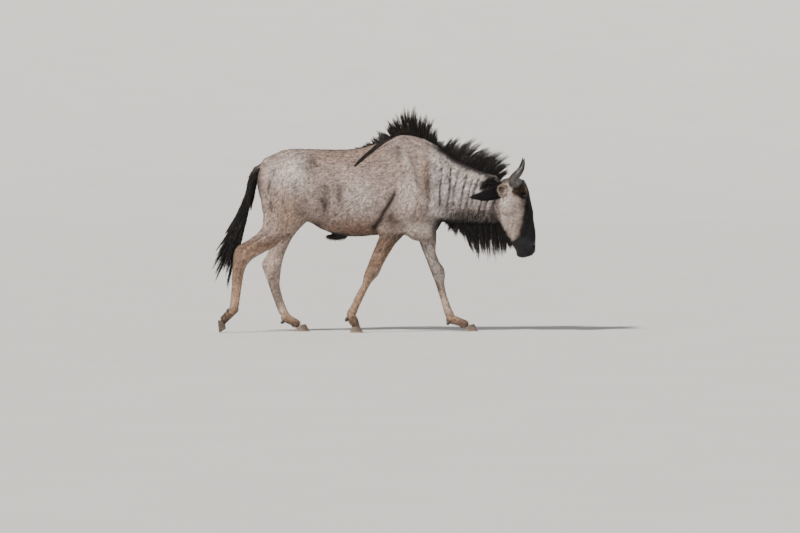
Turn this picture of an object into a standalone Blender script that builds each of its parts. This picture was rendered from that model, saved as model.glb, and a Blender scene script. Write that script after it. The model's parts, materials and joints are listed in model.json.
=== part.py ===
"""A life-size blue wildebeest in mid-stride, as a still museum model.

Axes: +X towards the head, +Y towards the animal's left, +Z up, floor at Z = 0.  All sizes are in metres.
The flesh is one smooth-blended form, swept from side-view edges and half widths, and then parted into trunk,
neck, head, legs and dock by thin cuts.  Horns, ears, eyes, hooves, mane, beard and tail brush are solids of
their own that sit on that form with a thin gap.
"""

import math

import bmesh
import bpy
import numpy as np
from mathutils import Matrix, Vector

GAP = 0.0003
SHIFT_X = 0.017
CELL = 0.0125
BODY_FACES = 4300
GRID_LOW = (-1.125, -0.285, 0.0)
GRID_HIGH = (1.20, 0.2851, 1.46)
FORM_MARGIN = 0.03
PASTERN_MARGIN = 0.05
CLEAN_DISTANCE = 2.0e-5
CUT_DISTANCE = 1.0e-6

# Colours as linear red, green and blue, with roughness
HIDE_GREY = ((0.36, 0.29, 0.25), 0.75)
HIDE_NECK = ((0.40, 0.34, 0.31), 0.72)
HIDE_FACE = ((0.17, 0.14, 0.13), 0.7)
HIDE_LEG = ((0.42, 0.29, 0.19), 0.75)
HAIR_BLACK = ((0.018, 0.018, 0.022), 0.55)
HAIR_EAR = ((0.05, 0.045, 0.05), 0.7)
HORN_GREY = ((0.10, 0.095, 0.09), 0.4)
HOOF_GREY = ((0.17, 0.14, 0.115), 0.5)
EYE_BROWN = ((0.02, 0.011, 0.007), 0.08)

# Trunk stations along X: x, top z, bottom z, half width
TRUNK = (
    (-0.825, 1.190, 1.010, 0.058),
    (-0.780, 1.222, 0.930, 0.106),
    (-0.720, 1.250, 0.870, 0.138),
    (-0.630, 1.286, 0.830, 0.162),
    (-0.550, 1.294, 0.800, 0.172),
    (-0.450, 1.291, 0.765, 0.176),
    (-0.358, 1.290, 0.716, 0.182),
    (-0.250, 1.288, 0.682, 0.192),
    (-0.123, 1.296, 0.673, 0.197),
    (0.010, 1.330, 0.682, 0.192),
    (0.100, 1.370, 0.687, 0.182),
    (0.196, 1.396, 0.686, 0.170),
    (0.304, 1.380, 0.652, 0.158),
    (0.354, 1.354, 0.664, 0.148),
    (0.404, 1.326, 0.690, 0.136),
    (0.447, 1.300, 0.728, 0.118),
    (0.500, 1.262, 0.790, 0.090),
)
# Widest level as a share of the height, roundness above and below it, and length of the rounded ends
TRUNK_FORM = (0.42, 1.75, 2.3, 0.06)
TRUNK_SOFTNESS = 0.02

# Neck stations along X: x, top z, bottom z, half width
NECK = (
    (0.300, 1.372, 0.800, 0.150),
    (0.387, 1.335, 0.780, 0.140),
    (0.462, 1.292, 0.776, 0.128),
    (0.564, 1.220, 0.760, 0.111),
    (0.692, 1.160, 0.752, 0.096),
    (0.820, 1.116, 0.748, 0.086),
    (0.900, 1.098, 0.760, 0.080),
)
NECK_FORM = (0.50, 1.9, 2.1, 0.05)
NECK_SOFTNESS = 0.05
CREST_CHANGE = 0.43

# Head stations from muzzle to crown: z, rear x, front x, half width
HEAD = (
    (0.527, 1.012, 1.086, 0.036),
    (0.545, 1.001, 1.117, 0.051),
    (0.571, 0.992, 1.131, 0.060),
    (0.600, 0.975, 1.134, 0.063),
    (0.631, 0.953, 1.134, 0.060),
    (0.665, 0.925, 1.134, 0.055),
    (0.716, 0.890, 1.131, 0.056),
    (0.766, 0.862, 1.123, 0.063),
    (0.810, 0.846, 1.118, 0.071),
    (0.842, 0.838, 1.117, 0.077),
    (0.882, 0.836, 1.108, 0.086),
    (0.940, 0.840, 1.096, 0.097),
    (0.990, 0.852, 1.087, 0.100),
    (1.030, 0.868, 1.073, 0.096),
    (1.062, 0.885, 1.055, 0.082),
    (1.084, 0.905, 1.035, 0.060),
)
HEAD_FORM = (0.52, 2.7, 2.0, 0.016)
HEAD_SOFTNESS = 0.03
# Head stations that form the lower jaw's edge
JAW_STATIONS = slice(1, 8)

# Leg stations down each leg: z, rear x, front x, centre y (of the right side), half width
FORE_RIGHT = (
    (1.150, 0.120, 0.300, 0.070, 0.055),
    (0.960, 0.060, 0.390, 0.100, 0.085),
    (0.820, 0.030, 0.385, 0.125, 0.078),
    (0.750, 0.026, 0.290, 0.130, 0.068),
    (0.690, 0.031, 0.212, 0.132, 0.060),
    (0.630, 0.014, 0.152, 0.133, 0.051),
    (0.560, -0.015, 0.106, 0.133, 0.043),
    (0.474, -0.049, 0.058, 0.133, 0.036),
    (0.410, -0.074, 0.029, 0.133, 0.037),
    (0.352, -0.086, -0.022, 0.133, 0.030),
    (0.265, -0.132, -0.068, 0.133, 0.024),
    (0.190, -0.168, -0.103, 0.133, 0.024),
    (0.140, -0.196, -0.122, 0.133, 0.031),
    (0.118, -0.202, -0.126, 0.133, 0.034),
)
FORE_LEFT = (
    (1.150, 0.140, 0.330, 0.070, 0.055),
    (0.960, 0.120, 0.440, 0.100, 0.085),
    (0.820, 0.230, 0.460, 0.118, 0.076),
    (0.720, 0.285, 0.440, 0.120, 0.060),
    (0.640, 0.312, 0.434, 0.120, 0.051),
    (0.580, 0.333, 0.430, 0.120, 0.045),
    (0.500, 0.366, 0.452, 0.120, 0.038),
    (0.440, 0.388, 0.488, 0.120, 0.037),
    (0.400, 0.404, 0.496, 0.120, 0.038),
    (0.350, 0.424, 0.492, 0.120, 0.030),
    (0.300, 0.440, 0.498, 0.120, 0.024),
    (0.187, 0.474, 0.532, 0.120, 0.024),
    (0.120, 0.492, 0.560, 0.120, 0.031),
    (0.095, 0.498, 0.568, 0.120, 0.034),
)
HIND_RIGHT = (
    (1.100, -0.740, -0.460, 0.075, 0.080),
    (1.000, -0.790, -0.430, 0.096, 0.090),
    (0.900, -0.798, -0.440, 0.104, 0.086),
    (0.824, -0.784, -0.465, 0.106, 0.078),
    (0.760, -0.790, -0.505, 0.107, 0.068),
    (0.702, -0.822, -0.556, 0.108, 0.058),
    (0.650, -0.890, -0.648, 0.108, 0.048),
    (0.600, -0.968, -0.708, 0.108, 0.041),
    (0.560, -0.986, -0.780, 0.108, 0.037),
    (0.513, -0.995, -0.858, 0.108, 0.037),
    (0.460, -0.999, -0.902, 0.108, 0.034),
    (0.400, -1.002, -0.920, 0.108, 0.028),
    (0.300, -1.009, -0.935, 0.108, 0.025),
    (0.215, -1.017, -0.947, 0.108, 0.026),
    (0.170, -1.025, -0.951, 0.108, 0.034),
)
HIND_LEFT = (
    (1.100, -0.740, -0.460, 0.075, 0.080),
    (1.000, -0.780, -0.430, 0.096, 0.090),
    (0.900, -0.775, -0.430, 0.104, 0.086),
    (0.800, -0.752, -0.458, 0.106, 0.074),
    (0.735, -0.742, -0.520, 0.107, 0.062),
    (0.658, -0.730, -0.582, 0.107, 0.050),
    (0.600, -0.739, -0.612, 0.107, 0.043),
    (0.531, -0.770, -0.640, 0.107, 0.038),
    (0.467, -0.796, -0.655, 0.107, 0.037),
    (0.420, -0.785, -0.662, 0.107, 0.033),
    (0.343, -0.757, -0.670, 0.107, 0.027),
    (0.241, -0.722, -0.650, 0.107, 0.025),
    (0.150, -0.688, -0.616, 0.107, 0.028),
    (0.105, -0.672, -0.592, 0.107, 0.034),
)
LEG_FORM = (0.5, 2.0, 2.0, 0.03)
LEG_SOFTNESS = 0.035

# Pasterns from fetlock to coronet: start x, z, radius, end x, z, radius
PASTERNS = {
    "foreleg_right": ((-0.163, 0.112, 0.036), (-0.136, 0.058, 0.030)),
    "foreleg_left": ((0.535, 0.090, 0.035), (0.632, 0.052, 0.030)),
    "hindleg_right": ((-0.988, 0.165, 0.036), (-1.052, 0.096, 0.030)),
    "hindleg_left": ((-0.630, 0.098, 0.036), (-0.556, 0.056, 0.030)),
}
PASTERN_FLAT = 0.92
PASTERN_SOFTNESS = 0.012

# Muscle and bone under the hide: centre x, y, z, half sizes along and across, tilt from X towards Z in degrees
MASSES = (
    ("shoulder blade", (0.235, 0.105, 1.105), (0.215, 0.062, 0.085), -58.0),
    ("shoulder point", (0.375, 0.105, 0.885), (0.085, 0.062, 0.085), 0.0),
    ("upper arm", (0.205, 0.128, 0.830), (0.170, 0.066, 0.090), 22.0),
    ("haunch", (-0.600, 0.100, 1.055), (0.190, 0.092, 0.150), 35.0),
    ("hip", (-0.500, 0.096, 1.198), (0.085, 0.066, 0.060), 0.0),
    ("buttock", (-0.752, 0.070, 1.020), (0.072, 0.062, 0.140), 10.0),
)
MASS_SOFTNESS = 0.045

LEGS = {
    "foreleg_right": (FORE_RIGHT, -1.0),
    "foreleg_left": (FORE_LEFT, 1.0),
    "hindleg_right": (HIND_RIGHT, -1.0),
    "hindleg_left": (HIND_LEFT, 1.0),
}

# The dock of the tail from its root: x, z, radius
DOCK = (
    (-0.780, 1.172, 0.030),
    (-0.826, 1.140, 0.030),
    (-0.856, 1.090, 0.027),
    (-0.870, 1.010, 0.024),
    (-0.884, 0.930, 0.021),
    (-0.905, 0.850, 0.016),
    (-0.925, 0.795, 0.009),
)
DOCK_SIDES = 10

# Middle line of the right horn from boss to tip: x, distance out, z, radius
HORN = (
    (1.000, 0.014, 1.044, 0.038),
    (0.998, 0.060, 1.050, 0.038),
    (0.986, 0.108, 1.048, 0.034),
    (0.972, 0.158, 1.048, 0.031),
    (0.968, 0.204, 1.062, 0.028),
    (0.985, 0.238, 1.090, 0.025),
    (1.011, 0.252, 1.120, 0.021),
    (1.032, 0.252, 1.152, 0.016),
    (1.043, 0.240, 1.190, 0.010),
    (1.048, 0.224, 1.228, 0.0015),
)
HORN_SIDES = 10

# Ear stations from its base: share of its length, half breadth, depth of the cup
EAR_BASE = (0.938, 0.070, 1.008)
EAR_TIP = (0.671, 0.196, 0.950)
EAR = (
    (0.00, 0.030, 0.024),
    (0.10, 0.040, 0.030),
    (0.28, 0.047, 0.028),
    (0.50, 0.045, 0.021),
    (0.72, 0.032, 0.012),
    (0.90, 0.015, 0.004),
    (1.00, 0.004, 0.001),
)
EAR_WALL = 0.006
EAR_WALL_THINNING = 0.75
EAR_HOLLOW = (0.0, 1.0, -0.25)
EAR_POINTS = 7

EYE_PLACE = (1.046, 0.0775, 0.964)
EYE_RADIUS = 0.0205

# One digit of a hoof in its own frame: share of length forward, share of half width outward
DIGIT_OUTLINE = (
    (0.02, 0.30),
    (0.06, 0.06),
    (0.50, 0.05),
    (0.90, 0.05),
    (1.00, 0.18),
    (0.96, 0.42),
    (0.76, 0.78),
    (0.46, 1.00),
    (0.18, 0.94),
    (0.03, 0.64),
)
HOOF_HALF_WIDTH = 0.035
HOOF_TOE_HEIGHT = 0.052
HOOF_HEEL_HEIGHT = 0.032
HOOF_TOP_SHARE = 0.66
HOOF_TOP_BACK = 0.06
HOOF_TOP_INSET = 0.04
HOOF_TOP_WIDTH = 0.84

# Hooves: heel x, heel z, length, pitch in degrees (turning the toe down), leg
HOOVES = {
    "fore_right": (-0.176, 0.0, 0.098, 0.0, "foreleg_right"),
    "fore_left": (0.634, 0.0, 0.098, 0.0, "foreleg_left"),
    "hind_right": (-1.102, 0.088, 0.094, 84.0, "hindleg_right"),
    "hind_left": (-0.556, 0.0, 0.098, 0.0, "hindleg_left"),
}

# Dewclaws: leg, x, z, tilt from straight down in degrees
DEWCLAWS = {
    "fore_right": ("foreleg_right", -0.197, 0.094, 25.0),
    "fore_left": ("foreleg_left", 0.520, 0.058, 60.0),
    "hind_right": ("hindleg_right", -1.030, 0.150, -20.0),
    "hind_left": ("hindleg_left", -0.650, 0.066, 60.0),
}
DEWCLAW_SPREAD = 0.017
DEWCLAW_LENGTH = 0.034
DEWCLAW_RADIUS = 0.0115
DEWCLAW_FLAT = 0.85

# Locks of the erect mane from the withers forward: root x, tip x, tip z
MANE_LOCKS = (
    (-0.100, -0.140, 1.312),
    (-0.030, -0.062, 1.345),
    (0.050, 0.010, 1.402),
    (0.120, 0.072, 1.438),
    (0.175, 0.085, 1.526),
    (0.210, 0.140, 1.490),
    (0.240, 0.193, 1.599),
    (0.272, 0.256, 1.615),
    (0.306, 0.312, 1.530),
    (0.340, 0.385, 1.534),
    (0.372, 0.411, 1.499),
    (0.430, 0.504, 1.431),
    (0.490, 0.570, 1.392),
    (0.540, 0.641, 1.375),
    (0.600, 0.735, 1.363),
    (0.665, 0.820, 1.320),
    (0.720, 0.871, 1.303),
    (0.775, 0.923, 1.277),
    (0.830, 0.982, 1.192),
    (0.880, 0.985, 1.130),
)
MANE_VALLEYS = (
    0.70, 0.60, 0.60, 0.45, 0.42, 0.45, 0.50, 0.50, 0.62, 0.60, 0.30,
    0.55, 0.72, 0.75, 0.75, 0.78, 0.80, 0.80, 0.70,
)
MANE_HALF_WIDTHS = (0.026, 0.016, 0.0016)
MANE_ROOT_DEPTH = 0.030

# Locks of the beard from chest to chin: root x, tip x, tip z
BEARD_LOCKS = (
    (0.500, 0.506, 0.728),
    (0.540, 0.546, 0.690),
    (0.585, 0.592, 0.684),
    (0.630, 0.736, 0.474),
    (0.690, 0.752, 0.520),
    (0.740, 0.768, 0.479),
    (0.780, 0.812, 0.482),
    (0.825, 0.851, 0.501),
    (0.870, 0.900, 0.512),
    (0.905, 0.930, 0.503),
    (0.935, 0.955, 0.565),
    (0.955, 0.978, 0.622),
)
BEARD_VALLEYS = (0.60, 0.60, 0.55, 0.42, 0.60, 0.65, 0.70, 0.75, 0.75, 0.72, 0.70)
BEARD_HALF_WIDTHS = (0.046, 0.022, 0.0016)
BEARD_ROOT_DEPTH = 0.035
# How far along a beard lock its middle lies, ahead and down
BEARD_MIDDLE = (0.3, 0.5)

# Locks of the tail brush from its outer to its inner edge: tip x, tip z, middle x, middle z
BRUSH_LOCKS = (
    (-1.118, 0.646, -0.985, 0.780),
    (-1.135, 0.560, -0.995, 0.740),
    (-1.158, 0.455, -1.010, 0.690),
    (-1.168, 0.390, -1.015, 0.650),
    (-1.124, 0.357, -1.006, 0.625),
    (-1.076, 0.317, -0.990, 0.610),
    (-1.028, 0.290, -0.970, 0.615),
    (-1.000, 0.400, -0.940, 0.640),
)
BRUSH_VALLEYS = (0.55, 0.55, 0.60, 0.68, 0.72, 0.75, 0.62)
BRUSH_ROOTS = ((-0.912, 0.905), (-0.852, 0.860))
BRUSH_HALF_WIDTHS = (0.026, 0.030, 0.0016)

# The fall of mane over the right side of the withers: x, z, half breadth
FALL = (
    (0.255, 1.402, 0.010),
    (0.180, 1.398, 0.020),
    (0.105, 1.370, 0.030),
    (0.045, 1.330, 0.040),
    (-0.010, 1.288, 0.045),
    (-0.060, 1.245, 0.038),
    (-0.100, 1.212, 0.022),
    (-0.131, 1.187, 0.004),
)
FALL_THICKNESS = 0.009
FALL_DEPTH = 0.012
# The fall's edges stand lower than its middle, and its lift leans up by a share
FALL_EDGE_LIFT = 0.45
FALL_LEAN = 0.3
FALL_SINK = 0.5
# How much of its breadth a comb of hair keeps at its two ends
COMB_END = 0.35

# Cuts between the parts of the flesh: a point and the direction in which the next part lies
NECK_CUT = ((0.470, 0.0, 1.000), (1.0, 0.0, 0.10))
HEAD_CUT = ((0.850, 0.0, 0.900), (1.0, 0.0, -0.12))
FORE_CUT = ((0.100, 0.0, 0.638), (0.0, 0.0, -1.0))
HIND_CUT = ((-0.470, 0.0, 0.755), (-0.60, 0.0, -1.0))
LEG_DIVIDE = ((-0.350, 0.0, 0.500), (1.0, 0.0, 0.0))
HEAD_DIVIDE = ((0.800, 0.0, 0.500), (1.0, 0.0, 0.0))
MIDDLE = ((0.0, 0.0, 0.0), (0.0, 1.0, 0.0))

# Cuts that bound each part, each with 1 for the side before it and -1 for the side past it
FLESH_PARTS = {
    "trunk": ((NECK_CUT, 1), (FORE_CUT, 1), (HIND_CUT, 1)),
    "neck": ((NECK_CUT, -1), (HEAD_CUT, 1), (FORE_CUT, 1)),
    "head": ((HEAD_CUT, -1),),
    "foreleg_right": ((FORE_CUT, -1), (LEG_DIVIDE, -1), (HEAD_DIVIDE, 1), (MIDDLE, 1)),
    "foreleg_left": ((FORE_CUT, -1), (LEG_DIVIDE, -1), (HEAD_DIVIDE, 1), (MIDDLE, -1)),
    "hindleg_right": ((HIND_CUT, -1), (LEG_DIVIDE, 1), (MIDDLE, 1)),
    "hindleg_left": ((HIND_CUT, -1), (LEG_DIVIDE, 1), (MIDDLE, -1)),
}
FLESH_FINISHES = {"trunk": "grey hide", "neck": "neck hide", "head": "face hide"}

# Solids that give way to another where they meet: the one that stays, then the one that is cut
NEIGHBOURS = (("horn_right", "mane"), ("horn_left", "mane"), ("mane", "mane_fall"), ("tail", "tail_brush"))


def curve_through(value, rows, column):
    """Smooth values between rows that never swing past them."""
    rows = np.asarray(sorted(rows), dtype=float)
    key = rows[:, 0]
    level = rows[:, column]
    step = np.diff(key)
    slope = np.diff(level) / step
    tangent = np.zeros(len(key))
    same_way = slope[:-1] * slope[1:] > 0
    first = 2 * step[1:] + step[:-1]
    second = step[1:] + 2 * step[:-1]
    safe = np.where(same_way, slope[:-1] * slope[1:], 1.0)
    blend = (first + second) * safe / (first * slope[1:] + second * slope[:-1] + np.where(same_way, 0.0, 1.0e9))
    tangent[1:-1] = np.where(same_way, blend, 0.0)
    tangent[0] = slope[0]
    tangent[-1] = slope[-1]
    spot = np.clip(value, key[0], key[-1])
    at = np.clip(np.searchsorted(key, spot) - 1, 0, len(step) - 1)
    t = (spot - key[at]) / step[at]
    h00 = (1 + 2 * t) * (1 - t) ** 2
    h10 = t * (1 - t) ** 2
    h01 = t * t * (3 - 2 * t)
    h11 = t * t * (t - 1)
    ends = h00 * level[at] + h10 * step[at] * tangent[at]
    return ends + h01 * level[at + 1] + h11 * step[at] * tangent[at + 1]


def swept_field(points, rows, across, waist, lift, push, end):
    """Signed distance-like values of a form swept along Z or X, from two edges and a half width.

    across is 0 when the rows are keyed by Z and hold X edges, 2 when they are keyed by X and hold Z edges.
    waist is the widest level between the low edge and the high edge; lift and push are the roundness powers
    above and below it; end is the length of the rounded ends.
    """
    along = 2 - across
    key = points[..., along]
    side = points[..., across]
    high_column, low_column = (2, 1) if across == 0 else (1, 2)
    high = curve_through(key, rows, high_column)
    low = curve_through(key, rows, low_column)
    width_column = 4 if len(rows[0]) == 5 else 3
    width = curve_through(key, rows, width_column)
    middle = curve_through(key, rows, 3) if len(rows[0]) == 5 else 0.0
    level = low + (high - low) * waist
    upper = side > level
    reach = np.where(upper, high - level, level - low)
    power = np.where(upper, lift, push)
    first = min(row[0] for row in rows)
    last = max(row[0] for row in rows)
    inset = np.clip(np.minimum(key - first, last - key), 0.0, end)
    cap = np.sqrt(np.clip(1.0 - (1.0 - inset / end) ** 2, 0.02, 1.0))
    u = np.abs(side - level) / np.maximum(reach * cap, 1.0e-4)
    v = np.abs(points[..., 1] - middle) / np.maximum(width * cap, 1.0e-4)
    ratio = np.maximum((u ** power + v ** power) ** (1.0 / power), 1.0e-3)
    radial = np.hypot(side - level, points[..., 1] - middle)
    flat = radial * (1.0 - 1.0 / ratio)
    core = -np.minimum(reach, width) * cap
    flat = np.where(ratio < 0.25, np.maximum(flat, core), flat)
    beyond = np.maximum(first - key, key - last)
    return np.where(beyond > 0.0, np.sqrt(np.maximum(flat, 0.0) ** 2 + beyond ** 2), flat)


def ellipsoid_field(points, centre, sizes, tilt):
    """Distance-like values of an ellipsoid turned about Y."""
    turn = math.radians(tilt)
    dx = points[..., 0] - centre[0]
    dz = points[..., 2] - centre[2]
    local = np.stack((
        (dx * math.cos(turn) + dz * math.sin(turn)) / sizes[0],
        (points[..., 1] - centre[1]) / sizes[1],
        (dz * math.cos(turn) - dx * math.sin(turn)) / sizes[2],
    ), axis=-1)
    first = np.linalg.norm(local, axis=-1)
    second = np.linalg.norm(local / np.asarray(sizes), axis=-1)
    return first * (first - 1.0) / np.maximum(second, 1.0e-6)


def cone_field(points, start, end, flat=1.0):
    """Distance of a round cone between two points (x, y, z, radius), narrowed across Y by flat."""
    a = np.asarray(start[:3], dtype=float)
    b = np.asarray(end[:3], dtype=float)
    axis = b - a
    offset = points - a
    share = np.clip(offset @ axis / (axis @ axis), 0.0, 1.0)
    near = offset - share[..., None] * axis
    near[..., 1] /= flat
    return np.linalg.norm(near, axis=-1) - (start[3] + (end[3] - start[3]) * share)


def blend_in(field, axes, low, high, shape, soft):
    """Join one form to the field by a smooth union inside its own box."""
    spans = []
    for axis, first, last in zip(axes, low, high):
        start = int(np.searchsorted(axis, first - soft))
        stop = int(np.searchsorted(axis, last + soft)) + 1
        spans.append(slice(max(start - 1, 0), min(stop, len(axis))))
    grid = np.stack(np.meshgrid(*(axis[span] for axis, span in zip(axes, spans)), indexing="ij"), axis=-1)
    new = shape(grid)
    old = field[tuple(spans)]
    share = np.clip(0.5 + 0.5 * (old - new) / soft, 0.0, 1.0)
    field[tuple(spans)] = old * (1.0 - share) + new * share - soft * share * (1.0 - share)


def rows_box(rows, across, margin):
    """Corners of the box that holds a swept form."""
    rows = np.asarray(rows)
    width = (np.abs(rows[:, 3]) + rows[:, 4]).max() if rows.shape[1] == 5 else rows[:, 3].max()
    low = [0.0, -width - margin, 0.0]
    high = [0.0, width + margin, 0.0]
    along = 2 - across
    low[along] = rows[:, 0].min() - margin
    high[along] = rows[:, 0].max() + margin
    low[across] = rows[:, 1:3].min() - margin
    high[across] = rows[:, 1:3].max() + margin
    return low, high


def mirrored(points, side):
    """The same points seen from the animal's other side when side is negative."""
    turned = points.copy()
    turned[..., 1] *= side
    return turned


def body_field(axes):
    """The whole flesh of the animal on a grid, negative inside."""
    field = np.full(tuple(len(axis) for axis in axes), 1.0)
    forms = (
        (TRUNK, 2, TRUNK_FORM, TRUNK_SOFTNESS),
        (NECK, 2, NECK_FORM, NECK_SOFTNESS),
        (HEAD, 0, HEAD_FORM, HEAD_SOFTNESS),
    )
    for rows, across, form, softness in forms:
        low, high = rows_box(rows, across, FORM_MARGIN)
        blend_in(field, axes, low, high, lambda p: swept_field(p, rows, across, *form), softness)
    for side in (-1.0, 1.0):
        for _, centre, sizes, tilt in MASSES:
            reach = max(sizes)
            place = (centre[0], centre[1] * side, centre[2])
            low = [value - reach for value in place]
            high = [value + reach for value in place]
            blend_in(field, axes, low, high, lambda p: ellipsoid_field(p, place, sizes, tilt), MASS_SOFTNESS)
    for name, (rows, side) in LEGS.items():
        low, high = rows_box(rows, 0, FORM_MARGIN)
        shape = lambda p: swept_field(mirrored(p, side), rows, 0, *LEG_FORM)
        blend_in(field, axes, low, high, shape, LEG_SOFTNESS)
        start, end = PASTERNS[name]
        y = rows[-1][3] * side
        first = (start[0], y, start[1], start[2])
        last = (end[0], y, end[1], end[2])
        low = [min(first[axis], last[axis]) - PASTERN_MARGIN for axis in range(3)]
        high = [max(first[axis], last[axis]) + PASTERN_MARGIN for axis in range(3)]
        shape = lambda p: cone_field(p, first, last, PASTERN_FLAT)
        blend_in(field, axes, low, high, shape, PASTERN_SOFTNESS)
    return field


def surface_net(field, axes):
    """Points and quads of the zero surface of a field on a rectilinear grid."""
    inside = field < 0.0
    shape = tuple(size - 1 for size in field.shape)
    count = np.zeros(shape, dtype=np.int8)
    for i in (0, 1):
        for j in (0, 1):
            for k in (0, 1):
                count += inside[i:i + shape[0], j:j + shape[1], k:k + shape[2]]
    live = (count > 0) & (count < 8)
    cells = np.argwhere(live)
    number = np.full(shape, -1, dtype=np.int64)
    number[live] = np.arange(len(cells))
    total = np.zeros((len(cells), 3))
    hits = np.zeros(len(cells))
    for axis in range(3):
        first, second = (axis + 1) % 3, (axis + 2) % 3
        for u in (0, 1):
            for v in (0, 1):
                low = cells.copy()
                low[:, first] += u
                low[:, second] += v
                high = low.copy()
                high[:, axis] += 1
                a = field[tuple(low.T)]
                b = field[tuple(high.T)]
                cross = (a < 0.0) != (b < 0.0)
                spot = np.zeros((len(cells), 3))
                spot[:, axis] = np.where(cross, a / np.where(cross, a - b, 1.0), 0.0)
                spot[:, first] = u
                spot[:, second] = v
                total += spot * cross[:, None]
                hits += cross
    share = total / hits[:, None]
    points = np.empty_like(share)
    for axis, line in enumerate(axes):
        at = cells[:, axis]
        points[:, axis] = line[at] + share[:, axis] * (line[at + 1] - line[at])
    quads = []
    for axis in range(3):
        first, second = (axis + 1) % 3, (axis + 2) % 3
        low = [slice(None)] * 3
        high = [slice(None)] * 3
        low[axis] = slice(0, -1)
        high[axis] = slice(1, None)
        cross = inside[tuple(low)] != inside[tuple(high)]
        nodes = np.argwhere(cross)
        keep = (nodes[:, first] > 0) & (nodes[:, second] > 0)
        keep &= (nodes[:, first] < shape[first]) & (nodes[:, second] < shape[second])
        nodes = nodes[keep]
        corners = []
        for u, v in ((-1, -1), (0, -1), (0, 0), (-1, 0)):
            cell = nodes.copy()
            cell[:, first] += u
            cell[:, second] += v
            corners.append(number[tuple(cell.T)])
        quad = np.stack(corners, axis=-1)
        outward = inside[tuple(nodes.T)]
        quad[~outward] = quad[~outward][:, ::-1]
        quads.append(quad)
    return points, np.concatenate(quads)


def remove_everything():
    """Start from an empty scene."""
    for item in list(bpy.data.objects):
        bpy.data.objects.remove(item, do_unlink=True)


def make_material(name, look):
    """One plain surface finish."""
    colour, roughness = look
    material = bpy.data.materials.new(name)
    material.use_nodes = True
    shader = material.node_tree.nodes["Principled BSDF"]
    shader.inputs["Base Color"].default_value = (*colour, 1.0)
    shader.inputs["Roughness"].default_value = roughness
    shader.inputs["Metallic"].default_value = 0.0
    material.diffuse_color = (*colour, 1.0)
    return material


def object_from(name, mesh_points, faces):
    """A named object from points and faces."""
    mesh = bpy.data.meshes.new(name)
    corners = [tuple(map(float, point)) for point in mesh_points]
    mesh.from_pydata(corners, [], [tuple(map(int, face)) for face in faces])
    mesh.update()
    item = bpy.data.objects.new(name, mesh)
    bpy.context.scene.collection.objects.link(item)
    return item


def settle(item):
    """Replace an object's mesh by its shape after all modifiers."""
    graph = bpy.context.evaluated_depsgraph_get()
    mesh = bpy.data.meshes.new_from_object(item.evaluated_get(graph))
    old = item.data
    item.modifiers.clear()
    item.data = mesh
    bpy.data.meshes.remove(old)
    mesh.name = item.name


def build_flesh():
    """The whole body as one closed mesh with few faces."""
    axes = [np.arange(low, high, CELL) for low, high in zip(GRID_LOW, GRID_HIGH)]
    points, quads = surface_net(body_field(axes), axes)
    body = object_from("flesh", points, quads)
    faces = sum(len(face.vertices) - 2 for face in body.data.polygons)
    thin = body.modifiers.new("fewer faces", "DECIMATE")
    thin.ratio = BODY_FACES / faces
    thin.use_collapse_triangulate = True
    settle(body)
    return body


def grown_copy(item, name, distance):
    """A copy of a closed mesh whose faces stand a little further out."""
    mesh = item.data.copy()
    copy = bpy.data.objects.new(name, mesh)
    bpy.context.scene.collection.objects.link(copy)
    work = bmesh.new()
    work.from_mesh(mesh)
    work.normal_update()
    moves = [vertex.normal * distance for vertex in work.verts]
    for vertex, move in zip(work.verts, moves):
        vertex.co += move
    work.to_mesh(mesh)
    work.free()
    return copy


def keep_largest(item):
    """Drop every loose body of a mesh but the largest."""
    work = bmesh.new()
    work.from_mesh(item.data)
    seen = set()
    groups = []
    for seed in work.verts:
        if seed in seen:
            continue
        group = []
        stack = [seed]
        seen.add(seed)
        while stack:
            vertex = stack.pop()
            group.append(vertex)
            for edge in vertex.link_edges:
                other = edge.other_vert(vertex)
                if other not in seen:
                    seen.add(other)
                    stack.append(other)
        groups.append(group)
    groups.sort(key=len)
    spare = [vertex for group in groups[:-1] for vertex in group]
    bmesh.ops.delete(work, geom=spare, context="VERTS")
    work.to_mesh(item.data)
    work.free()


def subtract(item, cutter):
    """Take one closed mesh away from another."""
    cut = item.modifiers.new("seat", "BOOLEAN")
    cut.operation = "DIFFERENCE"
    cut.solver = "EXACT"
    cut.object = cutter
    bpy.context.view_layer.update()
    settle(item)
    keep_largest(item)


def part_by_planes(source, name, planes):
    """The piece of a mesh on the inner side of every plane (point, outward normal), closed by flat faces."""
    mesh = source.data.copy()
    work = bmesh.new()
    work.from_mesh(mesh)
    for point, normal in planes:
        direction = Vector(normal).normalized()
        everything = list(work.verts) + list(work.edges) + list(work.faces)
        bmesh.ops.bisect_plane(
            work,
            geom=everything,
            dist=CUT_DISTANCE,
            plane_co=Vector(point) - direction * (GAP / 2),
            plane_no=direction,
            clear_outer=True,
        )
        rim = [edge for edge in work.edges if edge.is_boundary]
        bmesh.ops.holes_fill(work, edges=rim, sides=0)
    bmesh.ops.dissolve_degenerate(work, edges=work.edges, dist=CLEAN_DISTANCE)
    bmesh.ops.triangulate(work, faces=work.faces)
    bmesh.ops.recalc_face_normals(work, faces=work.faces)
    work.to_mesh(mesh)
    work.free()
    piece = bpy.data.objects.new(name, mesh)
    bpy.context.scene.collection.objects.link(piece)
    return piece


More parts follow.
